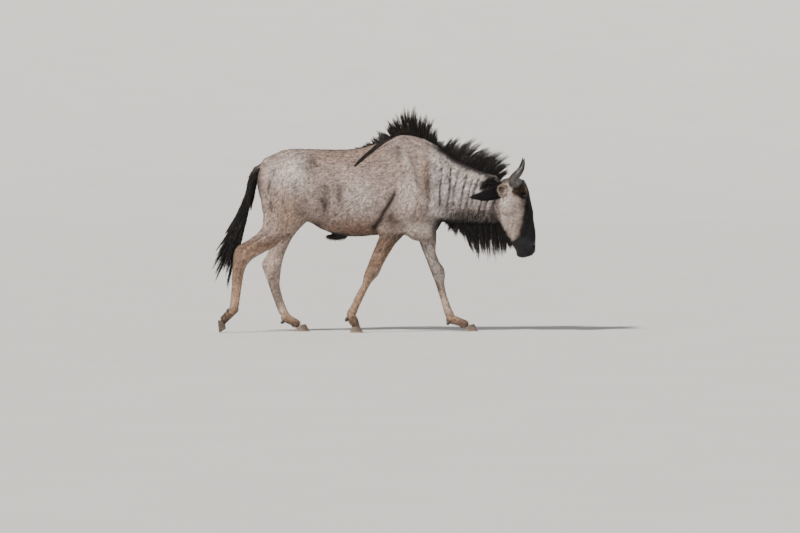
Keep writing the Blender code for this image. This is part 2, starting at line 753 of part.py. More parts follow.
def tube(name, line, radii, sides, flat=1.0):
    """A closed tapered tube along a line of points."""
    points = []
    faces = []
    line = [Vector(point) for point in line]
    up = Vector((0.0, 0.0, 1.0))
    for index, (centre, radius) in enumerate(zip(line, radii)):
        ahead = line[min(index + 1, len(line) - 1)] - line[max(index - 1, 0)]
        ahead.normalize()
        side = ahead.cross(up)
        if side.length < 0.2:
            side = ahead.cross(Vector((0.0, 1.0, 0.0)))
        side.normalize()
        top = side.cross(ahead).normalized()
        if index:
            side = (last_side - ahead * last_side.dot(ahead)).normalized()
            top = side.cross(ahead).normalized()
        last_side = side
        for step in range(sides):
            angle = 2.0 * math.pi * step / sides
            points.append(centre + side * (math.cos(angle) * radius * flat) + top * (math.sin(angle) * radius))
    for ring in range(len(line) - 1):
        for step in range(sides):
            after = (step + 1) % sides
            low, high = ring * sides, (ring + 1) * sides
            faces.append((low + step, low + after, high + after, high + step))
    faces.append(tuple(reversed(range(sides))))
    last = (len(line) - 1) * sides
    faces.append(tuple(range(last, last + sides)))
    return finish_solid(object_from(name, points, faces))


def finish_solid(item):
    """Triangles only, faces out, no spare points."""
    work = bmesh.new()
    work.from_mesh(item.data)
    bmesh.ops.triangulate(work, faces=work.faces)
    bmesh.ops.recalc_face_normals(work, faces=work.faces)
    if work.calc_volume() < 0.0:
        bmesh.ops.reverse_faces(work, faces=work.faces)
    work.to_mesh(item.data)
    work.free()
    return item


def build_horn(name, side):
    """One horn: out from its boss, down, then up and in to the tip."""
    line = [(x, out * side, z) for x, out, z, _ in HORN]
    return tube(name, line, [row[3] for row in HORN], HORN_SIDES)


def build_ear(name, side):
    """A leaf with a hollow that faces out and down."""
    base = Vector((EAR_BASE[0], EAR_BASE[1] * side, EAR_BASE[2]))
    tip = Vector((EAR_TIP[0], EAR_TIP[1] * side, EAR_TIP[2]))
    axis = (tip - base).normalized()
    outward = Vector((EAR_HOLLOW[0], EAR_HOLLOW[1] * side, EAR_HOLLOW[2]))
    outward = (outward - axis * outward.dot(axis)).normalized()
    breadth = axis.cross(outward).normalized()
    points = []
    faces = []
    ring = EAR_POINTS * 2
    length = (tip - base).length
    for share, half, cup in EAR:
        centre = base + axis * (length * share)
        wall = EAR_WALL * (1.0 - EAR_WALL_THINNING * share)
        outer = []
        inner = []
        for step in range(EAR_POINTS):
            angle = math.pi * (step / (EAR_POINTS - 1) - 0.5)
            across = math.sin(angle)
            depth = math.cos(angle)
            outer.append(centre + breadth * (across * half) - outward * (depth * cup))
            sideways = breadth * (across * (half - 0.6 * wall))
            inner.append(centre + sideways - outward * (depth * (cup - wall) - wall * 0.5))
        points += outer + inner[::-1]
    for row in range(len(EAR) - 1):
        for step in range(ring):
            after = (step + 1) % ring
            low, high = row * ring, (row + 1) * ring
            faces.append((low + step, low + after, high + after, high + step))
    for row, order in ((0, 1), (len(EAR) - 1, -1)):
        for step in range(EAR_POINTS - 1):
            start, end = row * ring + step, row * ring + ring - 1 - step
            cap = (start, start + 1, end - 1, end)
            faces.append(cap[::order])
    return finish_solid(object_from(name, points, faces))


def build_eye(name, side):
    """One eyeball."""
    work = bmesh.new()
    bmesh.ops.create_icosphere(work, subdivisions=2, radius=EYE_RADIUS)
    place = Vector((EYE_PLACE[0], EYE_PLACE[1] * side, EYE_PLACE[2]))
    bmesh.ops.translate(work, verts=work.verts, vec=place)
    mesh = bpy.data.meshes.new(name)
    work.to_mesh(mesh)
    work.free()
    item = bpy.data.objects.new(name, mesh)
    bpy.context.scene.collection.objects.link(item)
    return item


def build_digit(name, hoof, hand):
    """One half of a cloven hoof with a flat sole; hand is the side of the foot it forms."""
    heel_x, heel_z, length, pitch, leg = HOOVES[hoof]
    rows, side = LEGS[leg]
    centre_y = rows[-1][3] * side
    count = len(DIGIT_OUTLINE)
    points = []
    for forward, outward in DIGIT_OUTLINE:
        points.append(Vector((forward * length, outward * HOOF_HALF_WIDTH * hand, 0.0)))
    for forward, outward in DIGIT_OUTLINE:
        height = HOOF_HEEL_HEIGHT + (HOOF_TOE_HEIGHT - HOOF_HEEL_HEIGHT) * forward
        back = (HOOF_TOP_BACK + forward * HOOF_TOP_SHARE) * length
        out = (HOOF_TOP_INSET + outward * HOOF_TOP_WIDTH) * HOOF_HALF_WIDTH * hand
        points.append(Vector((back, out, height)))
    turn = Matrix.Rotation(math.radians(pitch), 4, "Y")
    move = Matrix.Translation(Vector((heel_x, centre_y, heel_z)))
    points = [move @ turn @ point for point in points]
    faces = [tuple(range(count)), tuple(range(count, 2 * count))]
    for step in range(count):
        after = (step + 1) % count
        faces.append((step, after, count + after, count + step))
    item = finish_solid(object_from(name, points, faces))
    if pitch:
        flat = part_by_planes(item, name + "_cut", (((0.0, 0.0, -GAP / 2), (0.0, 0.0, -1.0)),))
        bpy.data.objects.remove(item, do_unlink=True)
        flat.name = name
        flat.data.name = name
        item = flat
    return item


def build_dewclaw(name, claw, hand):
    """One small blunt claw behind the fetlock."""
    leg, x, z, tilt = DEWCLAWS[claw]
    rows, side = LEGS[leg]
    y = rows[-1][3] * side + DEWCLAW_SPREAD * hand
    work = bmesh.new()
    bmesh.ops.create_icosphere(work, subdivisions=1, radius=DEWCLAW_RADIUS)
    stretch = Matrix.Diagonal(Vector((1.0, DEWCLAW_FLAT, DEWCLAW_LENGTH / (2.0 * DEWCLAW_RADIUS), 1.0)))
    turn = Matrix.Rotation(math.radians(tilt), 4, "Y")
    bmesh.ops.transform(work, matrix=Matrix.Translation(Vector((x, y, z))) @ turn @ stretch, verts=work.verts)
    mesh = bpy.data.meshes.new(name)
    work.to_mesh(mesh)
    work.free()
    item = bpy.data.objects.new(name, mesh)
    bpy.context.scene.collection.objects.link(item)
    return item


def fan(name, roots, middles, tips, half_widths):
    """A thin closed comb of hair: every station runs from a root through a middle to a tip."""
    points = []
    faces = []
    root_half, middle_half, tip_half = half_widths
    count = len(roots)
    for index, (root, middle, tip) in enumerate(zip(roots, middles, tips)):
        edge = COMB_END if index in (0, count - 1) else 1.0
        for (x, z), half in ((root, root_half * edge), (middle, middle_half * edge), (tip, tip_half)):
            points.append((x, -half, z))
        for (x, z), half in ((tip, tip_half), (middle, middle_half * edge), (root, root_half * edge)):
            points.append((x, half, z))
    for row in range(count - 1):
        for step in range(6):
            after = (step + 1) % 6
            faces.append((row * 6 + step, row * 6 + after, row * 6 + 6 + after, row * 6 + 6 + step))
    for row in (0, count - 1):
        start = row * 6
        faces.append((start, start + 1, start + 4, start + 5))
        faces.append((start + 1, start + 2, start + 3, start + 4))
    return finish_solid(object_from(name, points, faces))


def mix(first, second, share):
    """A point between two points."""
    return tuple(a + (b - a) * share for a, b in zip(first, second))


def comb_stations(roots, tips, valleys, bend):
    """Stations at every lock and at every valley between two locks."""
    out_roots = []
    out_middles = []
    out_tips = []
    for index, (root, tip) in enumerate(zip(roots, tips)):
        out_roots.append(root)
        out_middles.append(bend(root, tip))
        out_tips.append(tip)
        if index < len(roots) - 1:
            low_root = mix(root, roots[index + 1], 0.5)
            low_tip = mix(tip, tips[index + 1], 0.5)
            low = mix(low_root, low_tip, valleys[index])
            out_roots.append(low_root)
            out_middles.append(bend(low_root, low))
            out_tips.append(low)
    return out_roots, out_middles, out_tips


def crest_height(x):
    """Height of the skin on the crest of back and neck."""
    rows = TRUNK if x < CREST_CHANGE else NECK
    return float(curve_through(np.array([x]), rows, 1)[0])


def throat_height(x):
    """Height of the skin under the neck and along the lower jaw."""
    edge = sorted((rear, z) for z, rear, _, _ in HEAD[JAW_STATIONS])
    if x < edge[0][0]:
        return float(curve_through(np.array([x]), NECK, 2)[0])
    return float(np.interp(x, [point[0] for point in edge], [point[1] for point in edge]))


def build_mane(name):
    """The erect mane from withers to poll with its jagged outline."""
    roots = [(x, crest_height(x) - MANE_ROOT_DEPTH) for x, _, _ in MANE_LOCKS]
    tips = [(x, z) for _, x, z in MANE_LOCKS]
    stations = comb_stations(roots, tips, MANE_VALLEYS, lambda root, tip: mix(root, tip, 0.5))
    return fan(name, *stations, MANE_HALF_WIDTHS)


def build_beard(name):
    """The beard under throat and jaw with its jagged outline."""
    roots = [(x, throat_height(x) + BEARD_ROOT_DEPTH) for x, _, _ in BEARD_LOCKS]
    tips = [(x, z) for _, x, z in BEARD_LOCKS]
    ahead, down = BEARD_MIDDLE
    bend = lambda root, tip: (mix(root, tip, ahead)[0], mix(root, tip, down)[1])
    stations = comb_stations(roots, tips, BEARD_VALLEYS, bend)
    return fan(name, *stations, BEARD_HALF_WIDTHS)


def build_brush(name):
    """The brush of long hair at the end of the tail."""
    count = len(BRUSH_LOCKS)
    roots = []
    middles = []
    tips = []
    for index, (tip_x, tip_z, middle_x, middle_z) in enumerate(BRUSH_LOCKS):
        root = mix(BRUSH_ROOTS[0], BRUSH_ROOTS[1], index / (count - 1))
        roots.append(root)
        middles.append((middle_x, middle_z))
        tips.append((tip_x, tip_z))
        if index < count - 1:
            after = BRUSH_LOCKS[index + 1]
            low_root = mix(BRUSH_ROOTS[0], BRUSH_ROOTS[1], (index + 0.5) / (count - 1))
            low_middle = mix((middle_x, middle_z), after[2:], 0.5)
            low_tip = mix((tip_x, tip_z), after[:2], 0.5)
            roots.append(low_root)
            middles.append(low_middle)
            tips.append(mix(low_middle, low_tip, BRUSH_VALLEYS[index]))
    return fan(name, roots, middles, tips, BRUSH_HALF_WIDTHS)


def side_of_trunk(x, z):
    """Distance of the trunk's skin from the middle plane."""
    spot = np.array([x])
    top = float(curve_through(spot, TRUNK, 1)[0])
    bottom = float(curve_through(spot, TRUNK, 2)[0])
    width = float(curve_through(spot, TRUNK, 3)[0])
    waist, roundness, _, _ = TRUNK_FORM
    level = bottom + (top - bottom) * waist
    share = min(max((z - level) / (top - level), 0.0), 1.0)
    return width * max(1.0 - share ** roundness, 0.0) ** (1.0 / roundness)


def build_fall(name):
    """The part of the mane that lies back and down over the right side of the withers."""
    points = []
    faces = []
    count = len(FALL)
    for index, (x, z, half) in enumerate(FALL):
        before = FALL[max(index - 1, 0)]
        after = FALL[min(index + 1, count - 1)]
        along = Vector((after[0] - before[0], 0.0, after[1] - before[1])).normalized()
        across = Vector((-along.z, 0.0, along.x))
        if across.z < 0.0:
            across = -across
        ring = []
        for share in (-1.0, 0.0, 1.0):
            px = x + across.x * half * share
            pz = z + across.z * half * share
            top = crest_height(px)
            y = -side_of_trunk(px, min(pz, top))
            ring.append((Vector((px, y, pz)), share))
        for spot, share in ring:
            lift = FALL_THICKNESS * (1.0 if share == 0.0 else FALL_EDGE_LIFT)
            points.append(spot + Vector((0.0, -lift, FALL_LEAN * lift)))
        for spot, share in reversed(ring):
            points.append(spot + Vector((0.0, FALL_DEPTH, -FALL_SINK * FALL_DEPTH)))
    for row in range(count - 1):
        for step in range(6):
            after = (step + 1) % 6
            faces.append((row * 6 + step, row * 6 + after, row * 6 + 6 + after, row * 6 + 6 + step))
    for row in (0, count - 1):
        start = row * 6
        faces.append((start, start + 1, start + 4, start + 5))
        faces.append((start + 1, start + 2, start + 3, start + 4))
    return finish_solid(object_from(name, points, faces))


def build_tail(name):
    """The dock of the tail."""
    return tube(name, [(x, 0.0, z) for x, z, _ in DOCK], [row[2] for row in DOCK], DOCK_SIDES)


def turned(cut):
    """The same cut facing the other way."""
    point, normal = cut
    return point, tuple(-value for value in normal)


def main():
    """Build every part."""
    remove_everything()
    looks = {
        "grey hide": HIDE_GREY,
        "neck hide": HIDE_NECK,
        "face hide": HIDE_FACE,
        "leg hide": HIDE_LEG,
        "black hair": HAIR_BLACK,
        "ear hair": HAIR_EAR,
        "horn": HORN_GREY,
        "hoof": HOOF_GREY,
        "eye": EYE_BROWN,
    }
    finishes = {name: make_material(name, look) for name, look in looks.items()}
    flesh = build_flesh()
    sides = (("right", -1.0), ("left", 1.0))
    eyes = [build_eye(f"eye_{word}", side) for word, side in sides]
    for eye in eyes:
        socket = grown_copy(eye, "socket", GAP * 2)
        subtract(flesh, socket)
        bpy.data.objects.remove(socket, do_unlink=True)
    hide = grown_copy(flesh, "hide", GAP * 1.5)
    made = {eye.name: "eye" for eye in eyes}
    seated = []
    for word, side in sides:
        seated.append((build_horn(f"horn_{word}", side), "horn"))
        seated.append((build_ear(f"ear_{word}", side), "ear hair"))
    for hoof in HOOVES:
        for word, hand in (("outer", 1.0), ("inner", -1.0)):
            side = LEGS[HOOVES[hoof][4]][1]
            seated.append((build_digit(f"hoof_{hoof}_{word}", hoof, hand * side), "hoof"))
            seated.append((build_dewclaw(f"dewclaw_{hoof}_{word}", hoof, hand * side), "hoof"))
    seated.append((build_mane("mane"), "black hair"))
    seated.append((build_fall("mane_fall"), "black hair"))
    seated.append((build_beard("beard"), "black hair"))
    seated.append((build_tail("tail"), "black hair"))
    seated.append((build_brush("tail_brush"), "black hair"))
    for item, finish in seated:
        subtract(item, hide)
        made[item.name] = finish
    bpy.data.objects.remove(hide, do_unlink=True)
    for whole, cut in NEIGHBOURS:
        grown = grown_copy(bpy.data.objects[whole], "room", GAP * 1.5)
        subtract(bpy.data.objects[cut], grown)
        bpy.data.objects.remove(grown, do_unlink=True)
    for name, bounds in FLESH_PARTS.items():
        part_by_planes(flesh, name, [cut if way > 0 else turned(cut) for cut, way in bounds])
        made[name] = FLESH_FINISHES.get(name, "leg hide")
    bpy.data.objects.remove(flesh, do_unlink=True)
    for name, finish in made.items():
        item = bpy.data.objects[name]
        item.data.transform(Matrix.Translation((SHIFT_X, 0.0, 0.0)))
        item.data.materials.clear()
        item.data.materials.append(finishes[finish])
        for face in item.data.polygons:
            face.use_smooth = finish != "hoof"


main()
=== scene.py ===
"""A blue wildebeest in mid-stride: skin, coat, mane, beard, horns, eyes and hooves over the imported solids.

Axes: +X towards the head, +Y towards the animal's left, +Z up, metres.  The forms below are written in the
outline's own X, which lies OUTLINE_SHIFT behind the frame's X; every finished mesh is moved by that shift.
"""

from __future__ import annotations

import json
import logging
import math
from dataclasses import dataclass, field, fields
from enum import Enum
from itertools import product
from typing import Sequence

import bmesh
import bpy
import numpy as np
from mathutils import Matrix, Vector
from mathutils.bvhtree import BVHTree

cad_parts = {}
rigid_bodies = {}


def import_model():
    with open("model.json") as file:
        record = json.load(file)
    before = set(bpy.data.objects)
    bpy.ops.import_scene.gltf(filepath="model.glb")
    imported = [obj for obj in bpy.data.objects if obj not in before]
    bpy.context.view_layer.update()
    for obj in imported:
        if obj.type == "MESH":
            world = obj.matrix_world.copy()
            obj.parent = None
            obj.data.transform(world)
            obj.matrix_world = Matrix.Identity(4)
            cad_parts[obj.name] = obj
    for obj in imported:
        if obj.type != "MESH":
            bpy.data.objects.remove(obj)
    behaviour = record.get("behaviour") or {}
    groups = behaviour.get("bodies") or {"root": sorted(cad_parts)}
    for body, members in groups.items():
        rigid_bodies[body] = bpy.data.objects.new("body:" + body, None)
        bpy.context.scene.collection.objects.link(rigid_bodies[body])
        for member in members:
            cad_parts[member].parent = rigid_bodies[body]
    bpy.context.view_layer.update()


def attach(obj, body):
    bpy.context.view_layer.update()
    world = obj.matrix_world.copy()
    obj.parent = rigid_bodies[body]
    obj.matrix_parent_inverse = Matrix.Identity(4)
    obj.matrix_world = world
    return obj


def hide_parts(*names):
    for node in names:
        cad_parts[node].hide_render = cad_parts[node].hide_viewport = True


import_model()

LOG = logging.getLogger("wildebeest")
OUTLINE_SHIFT = 0.017
BAKE_MAP = "OFBake"
BAKE_PATCH = 0.003
COLOUR = "marking"
LIE = "lie"
LENGTH = "coat_length"
NEAR_BLACK = (22, 20, 22)

Rows = Sequence[Sequence[float]]
Point = tuple[float, float, float]


class Side(Enum):
    """The two sides of the animal, by the sign of Y."""

    RIGHT = -1.0
    LEFT = 1.0

    @property
    def word(self) -> str:
        """The side's name in a node's name."""
        return self.name.lower()


class Along(Enum):
    """The axis along which a form is swept."""

    X = 0
    Z = 2


# Soft steps and noise


def ramp(value: np.ndarray, start: float, stop: float) -> np.ndarray:
    """Rise smoothly from 0 at start to 1 at stop.

    Args:
        value: What is stepped.
        start: Where the step begins.
        stop: Where the step ends, on either side of start.

    Returns:
        The step's height, from 0 to 1.
    """
    share = np.clip((np.asarray(value) - start) / (stop - start), 0.0, 1.0)
    return share * share * (3.0 - 2.0 * share)


def bell(distance: np.ndarray, width: float) -> np.ndarray:
    """A bump of height 1 that dies away over width."""
    return np.exp(-((distance / width) ** 2))


def lattice(cell: np.ndarray, seed: int) -> np.ndarray:
    """A fixed random number from 0 to 1 for each whole-numbered cell.

    Args:
        cell: Cells, with three whole numbers each.
        seed: Which set of random numbers.

    Returns:
        One number for each cell.
    """
    mixed = cell[..., 0] * 127.1 + cell[..., 1] * 311.7 + cell[..., 2] * 74.7 + seed * 19.19
    wave = np.sin(mixed) * 43758.5453
    return wave - np.floor(wave)


def noise(points: np.ndarray, scale: Sequence[float], seed: int) -> np.ndarray:
    """Smooth noise between -1 and 1.

    Args:
        points: Where it is read.
        scale: How many cells fit in a metre along each axis.
        seed: Which noise.

    Returns:
        One value for each point.
    """
    place = points * np.asarray(scale, dtype=float)
    base = np.floor(place)
    share = place - base
    share = share * share * (3.0 - 2.0 * share)
    total = np.zeros(points.shape[:-1])
    for i, j, k in product((0, 1), repeat=3):
        weight = np.abs(1 - i - share[..., 0]) * np.abs(1 - j - share[..., 1]) * np.abs(1 - k - share[..., 2])
        total += weight * lattice(base + np.array((i, j, k)), seed)
    return total * 2.0 - 1.0


def curve_through(value: np.ndarray, rows: Rows, column: int) -> np.ndarray:
    """Smooth values between rows that never swing past them.

    Args:
        value: The keys that are asked for.
        rows: Rows whose first number is the key.
        column: Which number of a row is wanted.

    Returns:
        The wanted number at each key.
    """
    table = np.asarray(rows, dtype=float)
    table = table[np.argsort(table[:, 0])]
    key = table[:, 0]
    level = table[:, column]
    step = np.diff(key)
    slope = np.diff(level) / step
    tangent = np.zeros(len(key))
    same_way = slope[:-1] * slope[1:] > 0
    first = 2 * step[1:] + step[:-1]
    second = step[1:] + 2 * step[:-1]
    product = np.where(same_way, slope[:-1] * slope[1:], 1.0)
    below = np.where(same_way, first * slope[1:] + second * slope[:-1], 1.0)
    tangent[1:-1] = np.where(same_way, (first + second) * product / below, 0.0)
    tangent[0] = slope[0]
    tangent[-1] = slope[-1]
    spot = np.clip(value, key[0], key[-1])
    at = np.clip(np.searchsorted(key, spot) - 1, 0, len(step) - 1)
    t = (spot - key[at]) / step[at]
    start = (1 + 2 * t) * (1 - t) ** 2 * level[at] + t * (1 - t) ** 2 * step[at] * tangent[at]
    return start + t * t * (3 - 2 * t) * level[at + 1] + t * t * (t - 1) * step[at] * tangent[at + 1]


# Forms of the flesh: each gives a distance-like value, negative inside


@dataclass(frozen=True)
class SweptForm:
    """A form swept along an axis from two measured edges and a half width.

    Rows hold: place along the axis, low edge, high edge, half width and, for legs, the middle's distance out.
    """

    rows: Rows
    along: Along
    waist: float
    lift: float
    push: float
    end: float
    side: float = 1.0

    def value(self, x: np.ndarray, y: np.ndarray, z: np.ndarray) -> np.ndarray:
        """Distance-like value at each point.

        Args:
            x: X of the points, in a shape that broadcasts.
            y: Y of the points.
            z: Z of the points.

        Returns:
            The value, negative inside.
        """
        key, across = (x, z) if self.along is Along.X else (z, x)
        low = curve_through(key, self.rows, 1)
        high = curve_through(key, self.rows, 2)
        width = curve_through(key, self.rows, 3)
        middle = curve_through(key, self.rows, 4) if len(self.rows[0]) > 4 else 0.0
        out = y * self.side - middle
        first = min(row[0] for row in self.rows)
        last = max(row[0] for row in self.rows)
        inset = np.clip(np.minimum(key - first, last - key), 0.0, self.end)
        cap = np.sqrt(np.clip(1.0 - (1.0 - inset / self.end) ** 2, 0.02, 1.0))
        level = low + (high - low) * self.waist
        above = across > level
        reach = np.where(above, high - level, level - low)
        power = np.where(above, self.lift, self.push)
        u = np.abs(across - level) / np.maximum(reach * cap, 1.0e-4)
        v = np.abs(out) / np.maximum(width * cap, 1.0e-4)
        ratio = np.maximum((u**power + v**power) ** (1.0 / power), 1.0e-3)
        flat = np.hypot(across - level, out) * (1.0 - 1.0 / ratio)
        flat = np.where(ratio < 0.25, np.maximum(flat, -np.minimum(reach, width) * cap), flat)
        beyond = np.maximum(first - key, key - last)
        return np.where(beyond > 0.0, np.hypot(np.maximum(flat, 0.0), beyond), flat)

    def box(self) -> tuple[list[float], list[float]]:
        """Corners of the box that holds the form.

        Returns:
            The low and the high corner.
        """
        table = np.asarray(self.rows)
        width = table[:, 3].max() + (table[:, 4].max() if table.shape[1] > 4 else 0.0)
        ends = (table[:, 0].min(), table[:, 0].max())
        edges = (table[:, 1:3].min(), table[:, 1:3].max())
        x, z = (ends, edges) if self.along is Along.X else (edges, ends)
        return [x[0], -width, z[0]], [x[1], width, z[1]]


@dataclass(frozen=True)
class Lump:
    """An ellipsoid of muscle or bone, tilted from X towards Z."""

    centre: Point
    sizes: Point
    tilt: float = 0.0

    def value(self, x: np.ndarray, y: np.ndarray, z: np.ndarray) -> np.ndarray:
        """Distance-like value at each point.

        Args:
            x: X of the points.
            y: Y of the points.
            z: Z of the points.

        Returns:
            The value, negative inside.
        """
        cosine = math.cos(math.radians(self.tilt))
        sine = math.sin(math.radians(self.tilt))
        dx = x - self.centre[0]
        dz = z - self.centre[2]
        a = (dx * cosine + dz * sine) / self.sizes[0]
        b = (y - self.centre[1]) / self.sizes[1]
        c = (dz * cosine - dx * sine) / self.sizes[2]
        near = np.sqrt(a * a + b * b + c * c)
        steep = np.sqrt((a / self.sizes[0]) ** 2 + (b / self.sizes[1]) ** 2 + (c / self.sizes[2]) ** 2)
        return near * (near - 1.0) / np.maximum(steep, 1.0e-6)

    def box(self) -> tuple[list[float], list[float]]:
        """Corners of a box that holds the lump."""
        reach = max(self.sizes)
        return [value - reach for value in self.centre], [value + reach for value in self.centre]

    def on(self, side: float) -> Lump:
        """The same lump on one side of the animal."""
        return Lump((self.centre[0], self.centre[1] * side, self.centre[2]), self.sizes, self.tilt)


@dataclass(frozen=True)
class Cone:
    """A round cone between two points (x, y, z, radius)."""

    start: Sequence[float]
    stop: Sequence[float]
    flat: float = 1.0

    def value(self, x: np.ndarray, y: np.ndarray, z: np.ndarray) -> np.ndarray:
        """Distance at each point.

        Args:
            x: X of the points.
            y: Y of the points.
            z: Z of the points.

        Returns:
            The distance, negative inside.
        """
        axis = [self.stop[i] - self.start[i] for i in range(3)]
        size = sum(value * value for value in axis)
        dx, dy, dz = x - self.start[0], y - self.start[1], z - self.start[2]
        share = np.clip((dx * axis[0] + dy * axis[1] + dz * axis[2]) / size, 0.0, 1.0)
        near = (dx - share * axis[0]) ** 2 + ((dy - share * axis[1]) / self.flat) ** 2 + (dz - share * axis[2]) ** 2
        return np.sqrt(near) - (self.start[3] + (self.stop[3] - self.start[3]) * share)

    def box(self) -> tuple[list[float], list[float]]:
        """Corners of a box that holds the cone.

        Returns:
            The low and the high corner.
        """
        reach = max(self.start[3], self.stop[3])
        ends = list(zip(self.start[:3], self.stop[:3]))
        return [min(pair) - reach for pair in ends], [max(pair) + reach for pair in ends]


Form = SweptForm | Lump | Cone


@dataclass
class FormField:
    """The value of all forms together on a grid."""

    axes: Sequence[np.ndarray]
    values: np.ndarray = field(init=False)

    def __post_init__(self) -> None:
        """Begin with nothing but outside."""
        self.values = np.full(tuple(len(axis) for axis in self.axes), 1.0, dtype=np.float32)

    def window(self, form: Form, soft: float) -> tuple[tuple[slice, ...], list[np.ndarray]]:
        """The grid's part near a form.

        Args:
            form: The form.
            soft: How far its influence reaches past its box.

        Returns:
            The slices of that part and its three open coordinate arrays.
        """
        low, high = form.box()
        spans = []
        lines = []
        for number, (axis, first, last) in enumerate(zip(self.axes, low, high)):
            start = max(int(np.searchsorted(axis, first - soft)) - 1, 0)
            stop = min(int(np.searchsorted(axis, last + soft)) + 2, len(axis))
            spans.append(slice(start, stop))
            shape = [1, 1, 1]
            shape[number] = -1
            lines.append(axis[start:stop].reshape(shape))
        return tuple(spans), lines

    def blend(self, form: Form, soft: float, sign: float = 1.0) -> None:
        """Join a form by a smooth union, or take it away by a smooth difference.

        Args:
            form: The form.
            soft: Width of the blend.
            sign: 1 to join the form and -1 to take it away.
        """
        spans, lines = self.window(form, soft)
        new = sign * form.value(*lines)
        old = self.values[spans]
        share = np.clip(0.5 + 0.5 * sign * (old - new) / soft, 0.0, 1.0)
        self.values[spans] = old * (1.0 - share) + new * share - sign * soft * share * (1.0 - share)

    def surface(self) -> tuple[np.ndarray, np.ndarray]:
        """Points and quads where the value is zero.

        Returns:
            The points and the quads, facing out.
        """
        values = self.values
        inside = values < 0.0
        shape = tuple(size - 1 for size in values.shape)
        count = np.zeros(shape, dtype=np.int8)
        for i, j, k in product((0, 1), repeat=3):
            count += inside[i : i + shape[0], j : j + shape[1], k : k + shape[2]]
        live = (count > 0) & (count < 8)
        cells = np.argwhere(live)
        number = np.full(shape, -1, dtype=np.int64)
        number[live] = np.arange(len(cells))
        total = np.zeros((len(cells), 3))
        hits = np.zeros(len(cells))
        for axis in range(3):
            first, second = (axis + 1) % 3, (axis + 2) % 3
            for u, v in product((0, 1), repeat=2):
                low = cells.copy()
                low[:, first] += u
                low[:, second] += v
                high = low.copy()
                high[:, axis] += 1
                a = values[tuple(low.T)].astype(float)
                b = values[tuple(high.T)].astype(float)
                cross = (a < 0.0) != (b < 0.0)
                spot = np.zeros((len(cells), 3))
                spot[:, axis] = np.where(cross, a / np.where(cross, a - b, 1.0), 0.0)
                spot[:, (first, second)] = u, v
                total += spot * cross[:, None]
                hits += cross
        share = total / hits[:, None]
        points = np.empty_like(share)
        for axis, line in enumerate(self.axes):
            at = cells[:, axis]
            points[:, axis] = line[at] + share[:, axis] * (line[at + 1] - line[at])
        return points, self.quads(inside, shape, number)

    @staticmethod
    def quads(inside: np.ndarray, shape: tuple[int, ...], number: np.ndarray) -> np.ndarray:
        """Quads around every grid edge that crosses the surface.

        Args:
            inside: Which grid nodes lie inside.
            shape: Number of cells along each axis.
            number: The point number of each cell.

        Returns:
            Rows of four point numbers, in outward order.
        """
        found = []
        for axis in range(3):
            first, second = (axis + 1) % 3, (axis + 2) % 3
            low = [slice(None)] * 3
            high = [slice(None)] * 3
            low[axis] = slice(0, -1)
            high[axis] = slice(1, None)
            nodes = np.argwhere(inside[tuple(low)] != inside[tuple(high)])
            keep = (nodes[:, first] > 0) & (nodes[:, second] > 0)
            keep &= (nodes[:, first] < shape[first]) & (nodes[:, second] < shape[second])
            nodes = nodes[keep]
            corners = []
            for u, v in ((-1, -1), (0, -1), (0, 0), (-1, 0)):
                cell = nodes.copy()
                cell[:, first] += u
                cell[:, second] += v
                corners.append(number[tuple(cell.T)])
            quad = np.stack(corners, axis=-1)
            inward = ~inside[tuple(nodes.T)]
            quad[inward] = quad[inward][:, ::-1]
            found.append(quad)
        return np.concatenate(found)


# Measured outline of the flesh, in metres

TRUNK_ROWS = (
    (-0.825, 1.010, 1.190, 0.058), (-0.780, 0.930, 1.222, 0.106), (-0.720, 0.870, 1.250, 0.138),
    (-0.630, 0.830, 1.286, 0.162), (-0.550, 0.800, 1.294, 0.172), (-0.450, 0.765, 1.291, 0.176),
    (-0.358, 0.716, 1.290, 0.182), (-0.250, 0.682, 1.288, 0.192), (-0.123, 0.673, 1.296, 0.197),
    (0.010, 0.682, 1.330, 0.192), (0.100, 0.687, 1.370, 0.182), (0.196, 0.686, 1.396, 0.170),
    (0.304, 0.652, 1.380, 0.158), (0.354, 0.664, 1.354, 0.148), (0.404, 0.690, 1.326, 0.136),
    (0.447, 0.728, 1.300, 0.118), (0.500, 0.790, 1.262, 0.090),
)
NECK_ROWS = (
    (0.300, 0.800, 1.372, 0.150), (0.387, 0.780, 1.335, 0.140), (0.462, 0.776, 1.292, 0.128),
    (0.564, 0.760, 1.220, 0.111), (0.692, 0.752, 1.160, 0.096), (0.820, 0.748, 1.116, 0.086),
    (0.900, 0.760, 1.098, 0.080),
)
HEAD_ROWS = (
    (0.527, 1.012, 1.086, 0.036), (0.545, 1.001, 1.117, 0.051), (0.571, 0.992, 1.131, 0.060),
    (0.600, 0.975, 1.134, 0.063), (0.631, 0.953, 1.134, 0.060), (0.665, 0.925, 1.134, 0.055),
    (0.716, 0.890, 1.131, 0.056), (0.766, 0.862, 1.123, 0.063), (0.810, 0.846, 1.118, 0.071),
    (0.842, 0.838, 1.117, 0.077), (0.882, 0.836, 1.108, 0.086), (0.940, 0.840, 1.096, 0.097),
    (0.990, 0.852, 1.087, 0.100), (1.030, 0.868, 1.073, 0.096), (1.062, 0.885, 1.055, 0.082),
    (1.084, 0.905, 1.035, 0.060),
)


@dataclass(frozen=True)
class LegPlan:
    """One leg: rows of z, rear x, front x, half width and distance out, and the pastern below them."""

    rows: Rows
    side: float
    pastern: tuple[Point, Point]

    @property
    def foot_y(self) -> float:
        """Y of the foot's middle."""
        return self.rows[-1][4] * self.side

    def centre(self, z: np.ndarray) -> np.ndarray:
        """X of the leg's middle line at each height."""
        return 0.5 * (curve_through(z, self.rows, 1) + curve_through(z, self.rows, 2))


